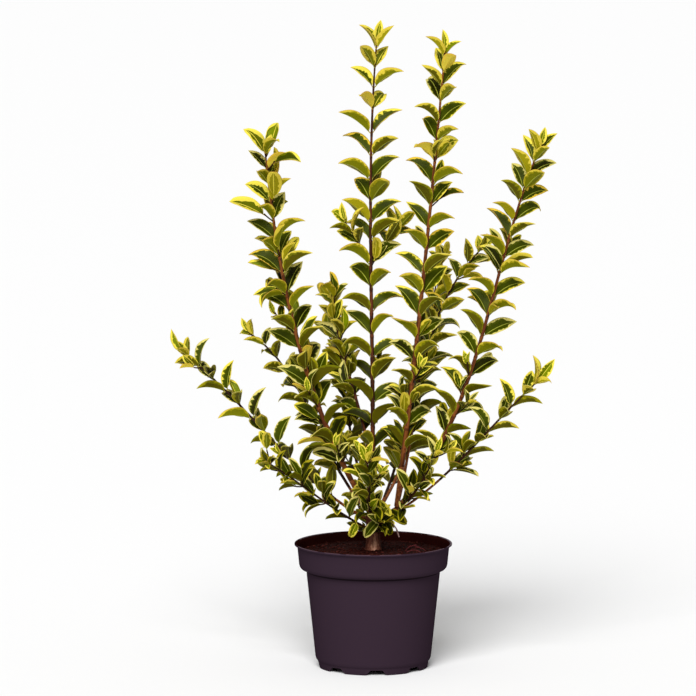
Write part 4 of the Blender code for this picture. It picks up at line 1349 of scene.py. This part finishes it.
# %% The wood in one skin
VOXEL = 0.0006
RELIEF = 0.14  # of the bark, in mm
WOOD_SIDES = (24, 16, 12)  # of the trunk, the limb and a bough
BOUGH_ROOT = 5 * MM  # how far a bough reaches back into what carries it
BOUGH_STEP = 4 * MM
OLD = (11.5, 184)  # within this radius and below this height the bark is old and tan, with painted light and shade
LIGHT_STEPS = (0.25, 0.5, 0.9)  # radians to each side of the front where the painted highlight, the lit tan and the painted half shade end
HIGHLIGHT_SIDE = 1.5  # how far right the painted highlight is strongest
HIGHLIGHT_HEIGHT = 149  # and at which height
HIGHLIGHT_FADE = 30  # mm above and below for a radian less
LIGHT_STRAY = 0.3  # how uneven its edges are, in radians
PORE = 0.52  # noise above which young bark has a pore
RED = -0.05  # and below which it is red
# the last four are the old trunk's painted highlight, lit tan, painted half shade and painted
# shade
BARK_FINISHES = ("orange_bark", "red_bark", "pale_pores",
                 "bark_painted_highlight", "tan_bark", "bark_tan_painted_half_shade", "bark_tan_painted_shade")


def trunk_tube():
    """The trunk with its flare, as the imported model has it."""
    foot = SOIL_TOP + GAP / MM
    points = []
    for height, _ in TRUNK_PROFILE:
        share = height / TRUNK_PROFILE[-1][0]
        points.append(Vector((TRUNK_LEAN * share * share, 0, foot + height)) * MM)
    return tube_parts(points, [radius * MM for _, radius in TRUNK_PROFILE], WOOD_SIDES[0])


def along(line, first, last, count):
    """Evenly spaced distances on a line, and the points there."""
    marks = [first + (last - first) * i / count for i in range(count + 1)]
    return marks, [line.place(mark)[0] for mark in marks]


def bark_finish(x, y, z):
    """The number of the finish that a face of the wood takes."""
    grain = noise.noise((x / 1.3, y / 1.3, z / 5.0))
    if math.hypot(x, y) < OLD[0] and z < OLD[1]:
        # on the old trunk: a painted highlight at the front, painted shade to the sides and above
        # and below
        aside = abs(math.atan2(x - HIGHLIGHT_SIDE, -y)) + LIGHT_STRAY * grain
        aside += abs(z - HIGHLIGHT_HEIGHT) / HIGHLIGHT_FADE
        return BARK_FINISHES.index("bark_painted_highlight") + sum(aside > limit for limit in LIGHT_STEPS)
    pore = noise.noise((x / 0.9, y / 0.9, z / 1.2 + 40)) > PORE
    return 2 if pore else int(grain < RED)


tubes = [trunk_tube()]
line = Line(*RIGHT_LIMB)
tubes.append(tube_parts(along(line, 0, line.length, len(RIGHT_LIMB_RADII) - 1)[1],
                        [radius * MM for radius in RIGHT_LIMB_RADII], WOOD_SIDES[1]))
for name, line, radius_at, start, enter in bough_spans:
    first = max(start - BOUGH_ROOT, 0)
    marks, points = along(line, first, enter, max(int((enter - first) / BOUGH_STEP), 3))
    tubes.append(tube_parts(points, [radius_at(mark) for mark in marks], WOOD_SIDES[2]))
wood = joined_mesh("trunk_and_boughs", [(corners, faces, [0] * len(faces))
                                        for corners, faces in tubes], BARK_FINISHES)
shape_with(wood, "REMESH", mode="VOXEL", voxel_size=VOXEL, adaptivity=0)
shape_with(wood, "SMOOTH", factor=0.5, iterations=4)
give_finishes(wood, *BARK_FINISHES)
normals = [vertex.normal.copy() for vertex in wood.data.vertices]
for vertex, normal in zip(wood.data.vertices, normals):
    x, y, z = vertex.co / MM
    vertex.co += normal * noise.fractal((x / 1.8, y / 1.8, z / 7.0), 0.8, 2.0, 3) * RELIEF * MM
for face in wood.data.polygons:
    face.material_index = bark_finish(*face.center / MM)
wood.data.shade_smooth()
hand_over(wood,
          ["trunk", "limb_right"] + ["bough_" + name for name, *_ in bough_spans])

# %% [markdown]
# ## Crumbs and fibres
# What makes soil look like soil is what lies loose on it: lumps of peat, chips of bark
# and hair-thin roots. Every crumb is one ball pressed into another form, and every fibre
# is a thin tube on a path that wanders.

# %% Loose soil
SOIL_SEED = 1977
CRUMBS = 620
FOOT_CRUMBS = 60  # heaped against the trunk
HEAP = (10.2, 14.5)  # distances from its middle
CRUMB_SIZES = (0.5, 1.6)
CRUMB_SQUASH = ((0.7, 1.5), (0.6, 1.1), (0.4, 0.8))
LARGE_CRUMBS = 0.08  # share that are larger
LARGER = 1.5
CRUMB_LUMPS = 0.35
CRUMB_MARGIN = 3  # distance from the wall, in mm
CRUMB_LIFT = 0.2  # how far a crumb's middle lies above the bed, of its size
FIBRES = 110
FIBRE_MARGIN = 6
FIBRE_LEAST = 3  # points
FIBRE_RISE = (0.5, 0.9)  # at its ends, and how much more in its middle
FIBRE_TURN = 0.55  # radians that it may turn at each point
WALL_CLEAR = 2
FIBRE_STEP = 1.5
FIBRE_POINTS = 9
FIBRE_SIDES = 6
FIBRE_RADII = (0.12, 0.32)


def ground(x, y):
    """The soil's surface at a place, in mm."""
    return soil_height(math.hypot(x, y)) + soil_lump(x, y)


def spread(margin, least):
    """A distance from the middle by chance, so that the bed is covered evenly."""
    return (SOIL_RADIUS - margin) * math.sqrt(chance.uniform(least, 1))


def round_about(far):
    """A place at a distance from the middle, in a direction by chance."""
    turn = chance.uniform(0, math.tau)
    return far * math.cos(turn), far * math.sin(turn)


chance = random.Random(SOIL_SEED)
bpy.ops.mesh.primitive_ico_sphere_add(subdivisions=2, radius=1)
ball = bpy.context.object
ball_corners, ball_faces = mesh_parts(ball.data)
bpy.data.objects.remove(ball)
pieces = []
for number in range(CRUMBS + FOOT_CRUMBS):
    far = spread(CRUMB_MARGIN, 0.02)
    if number >= CRUMBS:
        far = chance.uniform(*HEAP)
    x, y = round_about(far)
    size = chance.uniform(*CRUMB_SIZES) * (LARGER if chance.random() < LARGE_CRUMBS else 1)
    lumps = np.array([1 + CRUMB_LUMPS * noise.noise(corner * 1.7 + Vector((number, 0, 0)))
                      for corner in ball_corners])[:, None]
    squash = np.array([chance.uniform(*limits) for limits in CRUMB_SQUASH])
    spin = chance.uniform(0, math.tau)
    turned = np.array(ball_corners) * lumps * squash * size
    flat = turned[:, :2] @ np.array([[math.cos(spin), -math.sin(spin)],
                                     [math.sin(spin), math.cos(spin)]])
    height = turned[:, 2] + ground(x, y) + CRUMB_LIFT * size
    place = np.column_stack([flat[:, 0] + x, flat[:, 1] + y, height])
    pieces.append((place * MM, ball_faces, [chance.choice((0, 0, 1, 1, 2))] * len(ball_faces)))
crumbs = joined_mesh("soil_crumbs", pieces, ("soil_dark", "soil_brown", "soil_fibre"))
hand_over(crumbs, ["soil"])

pieces = []
for number in range(FIBRES):
    x, y = round_about(spread(FIBRE_MARGIN, 0.03))
    heading = chance.uniform(0, math.tau)
    points = []
    for i in range(FIBRE_POINTS):
        rise = FIBRE_RISE[0] + FIBRE_RISE[1] * math.sin(i / (FIBRE_POINTS - 1) * math.pi)
        points.append(Vector((x, y, ground(x, y) + rise)) * MM)
        heading += chance.uniform(-FIBRE_TURN, FIBRE_TURN)
        x += FIBRE_STEP * math.cos(heading)
        y += FIBRE_STEP * math.sin(heading)
        if math.hypot(x, y) > SOIL_RADIUS - WALL_CLEAR:
            break
    if len(points) > FIBRE_LEAST:
        radii = [chance.uniform(*FIBRE_RADII) * MM] * len(points)
        corners, faces = tube_parts(points, radii, FIBRE_SIDES)
        pieces.append((corners, faces, [chance.choice((0, 1))] * len(faces)))

# %% Looped roots and a dry stalk
ROOTS = (
    # radius and points of the looped roots on the soil, in mm
    (0.45, ((38, -9, 141), (42, -11, 147), (49, -10, 150.5), (56, -8, 147), (60, -9, 141))),
    (0.40, ((40, -16, 141), (46, -15, 145), (53, -14, 144.5), (57, -17, 141))),
    (0.35, ((44, -2, 141), (50, -4, 146.5), (58, -1, 146), (63, -5, 141))),
)
DRY_STALK = (0.85, ((19, -9, 181), (23, -12, 175), (28, -14, 170), (30.5, -14.5, 163),
                    (31, -14.5, 156)))
ROOT_STEPS = 16
ROUND_STEPS = 6  # for each rounded corner


def soft_tube(radius, points, kind):
    """A thin tube through points, rounded between them."""
    if len(points) == 4:
        line = Line(*points)
        places = along(line, 0, line.length, ROOT_STEPS)[1]
    else:
        knots = [Vector(point) for point in points]
        halves = [a.lerp(b, 0.5) for a, b in zip(knots, knots[1:])]
        places = [knots[0] * MM]
        for a, corner, b in zip([knots[0]] + halves, knots[1:-1], halves[1:] + [knots[-1]]):
            for i in range(1, ROUND_STEPS + 1):
                s = i / ROUND_STEPS
                places.append(((1 - s)**2 * a + 2 * s * (1 - s) * corner + s * s * b) * MM)
    corners, faces = tube_parts(places, [radius * MM] * len(places), FIBRE_SIDES)
    return corners, faces, [kind] * len(faces)


pieces += [soft_tube(*root, 2) for root in ROOTS]
fibres = joined_mesh("soil_fibres", pieces, ("soil_fibre", "soil_brown", "root_red"))
hand_over(fibres, ["soil"])
hanging = joined_mesh("dry_stalk", [soft_tube(*DRY_STALK, 0)], ("dry_stalk",))
hand_over(hanging, ["limb_right"])
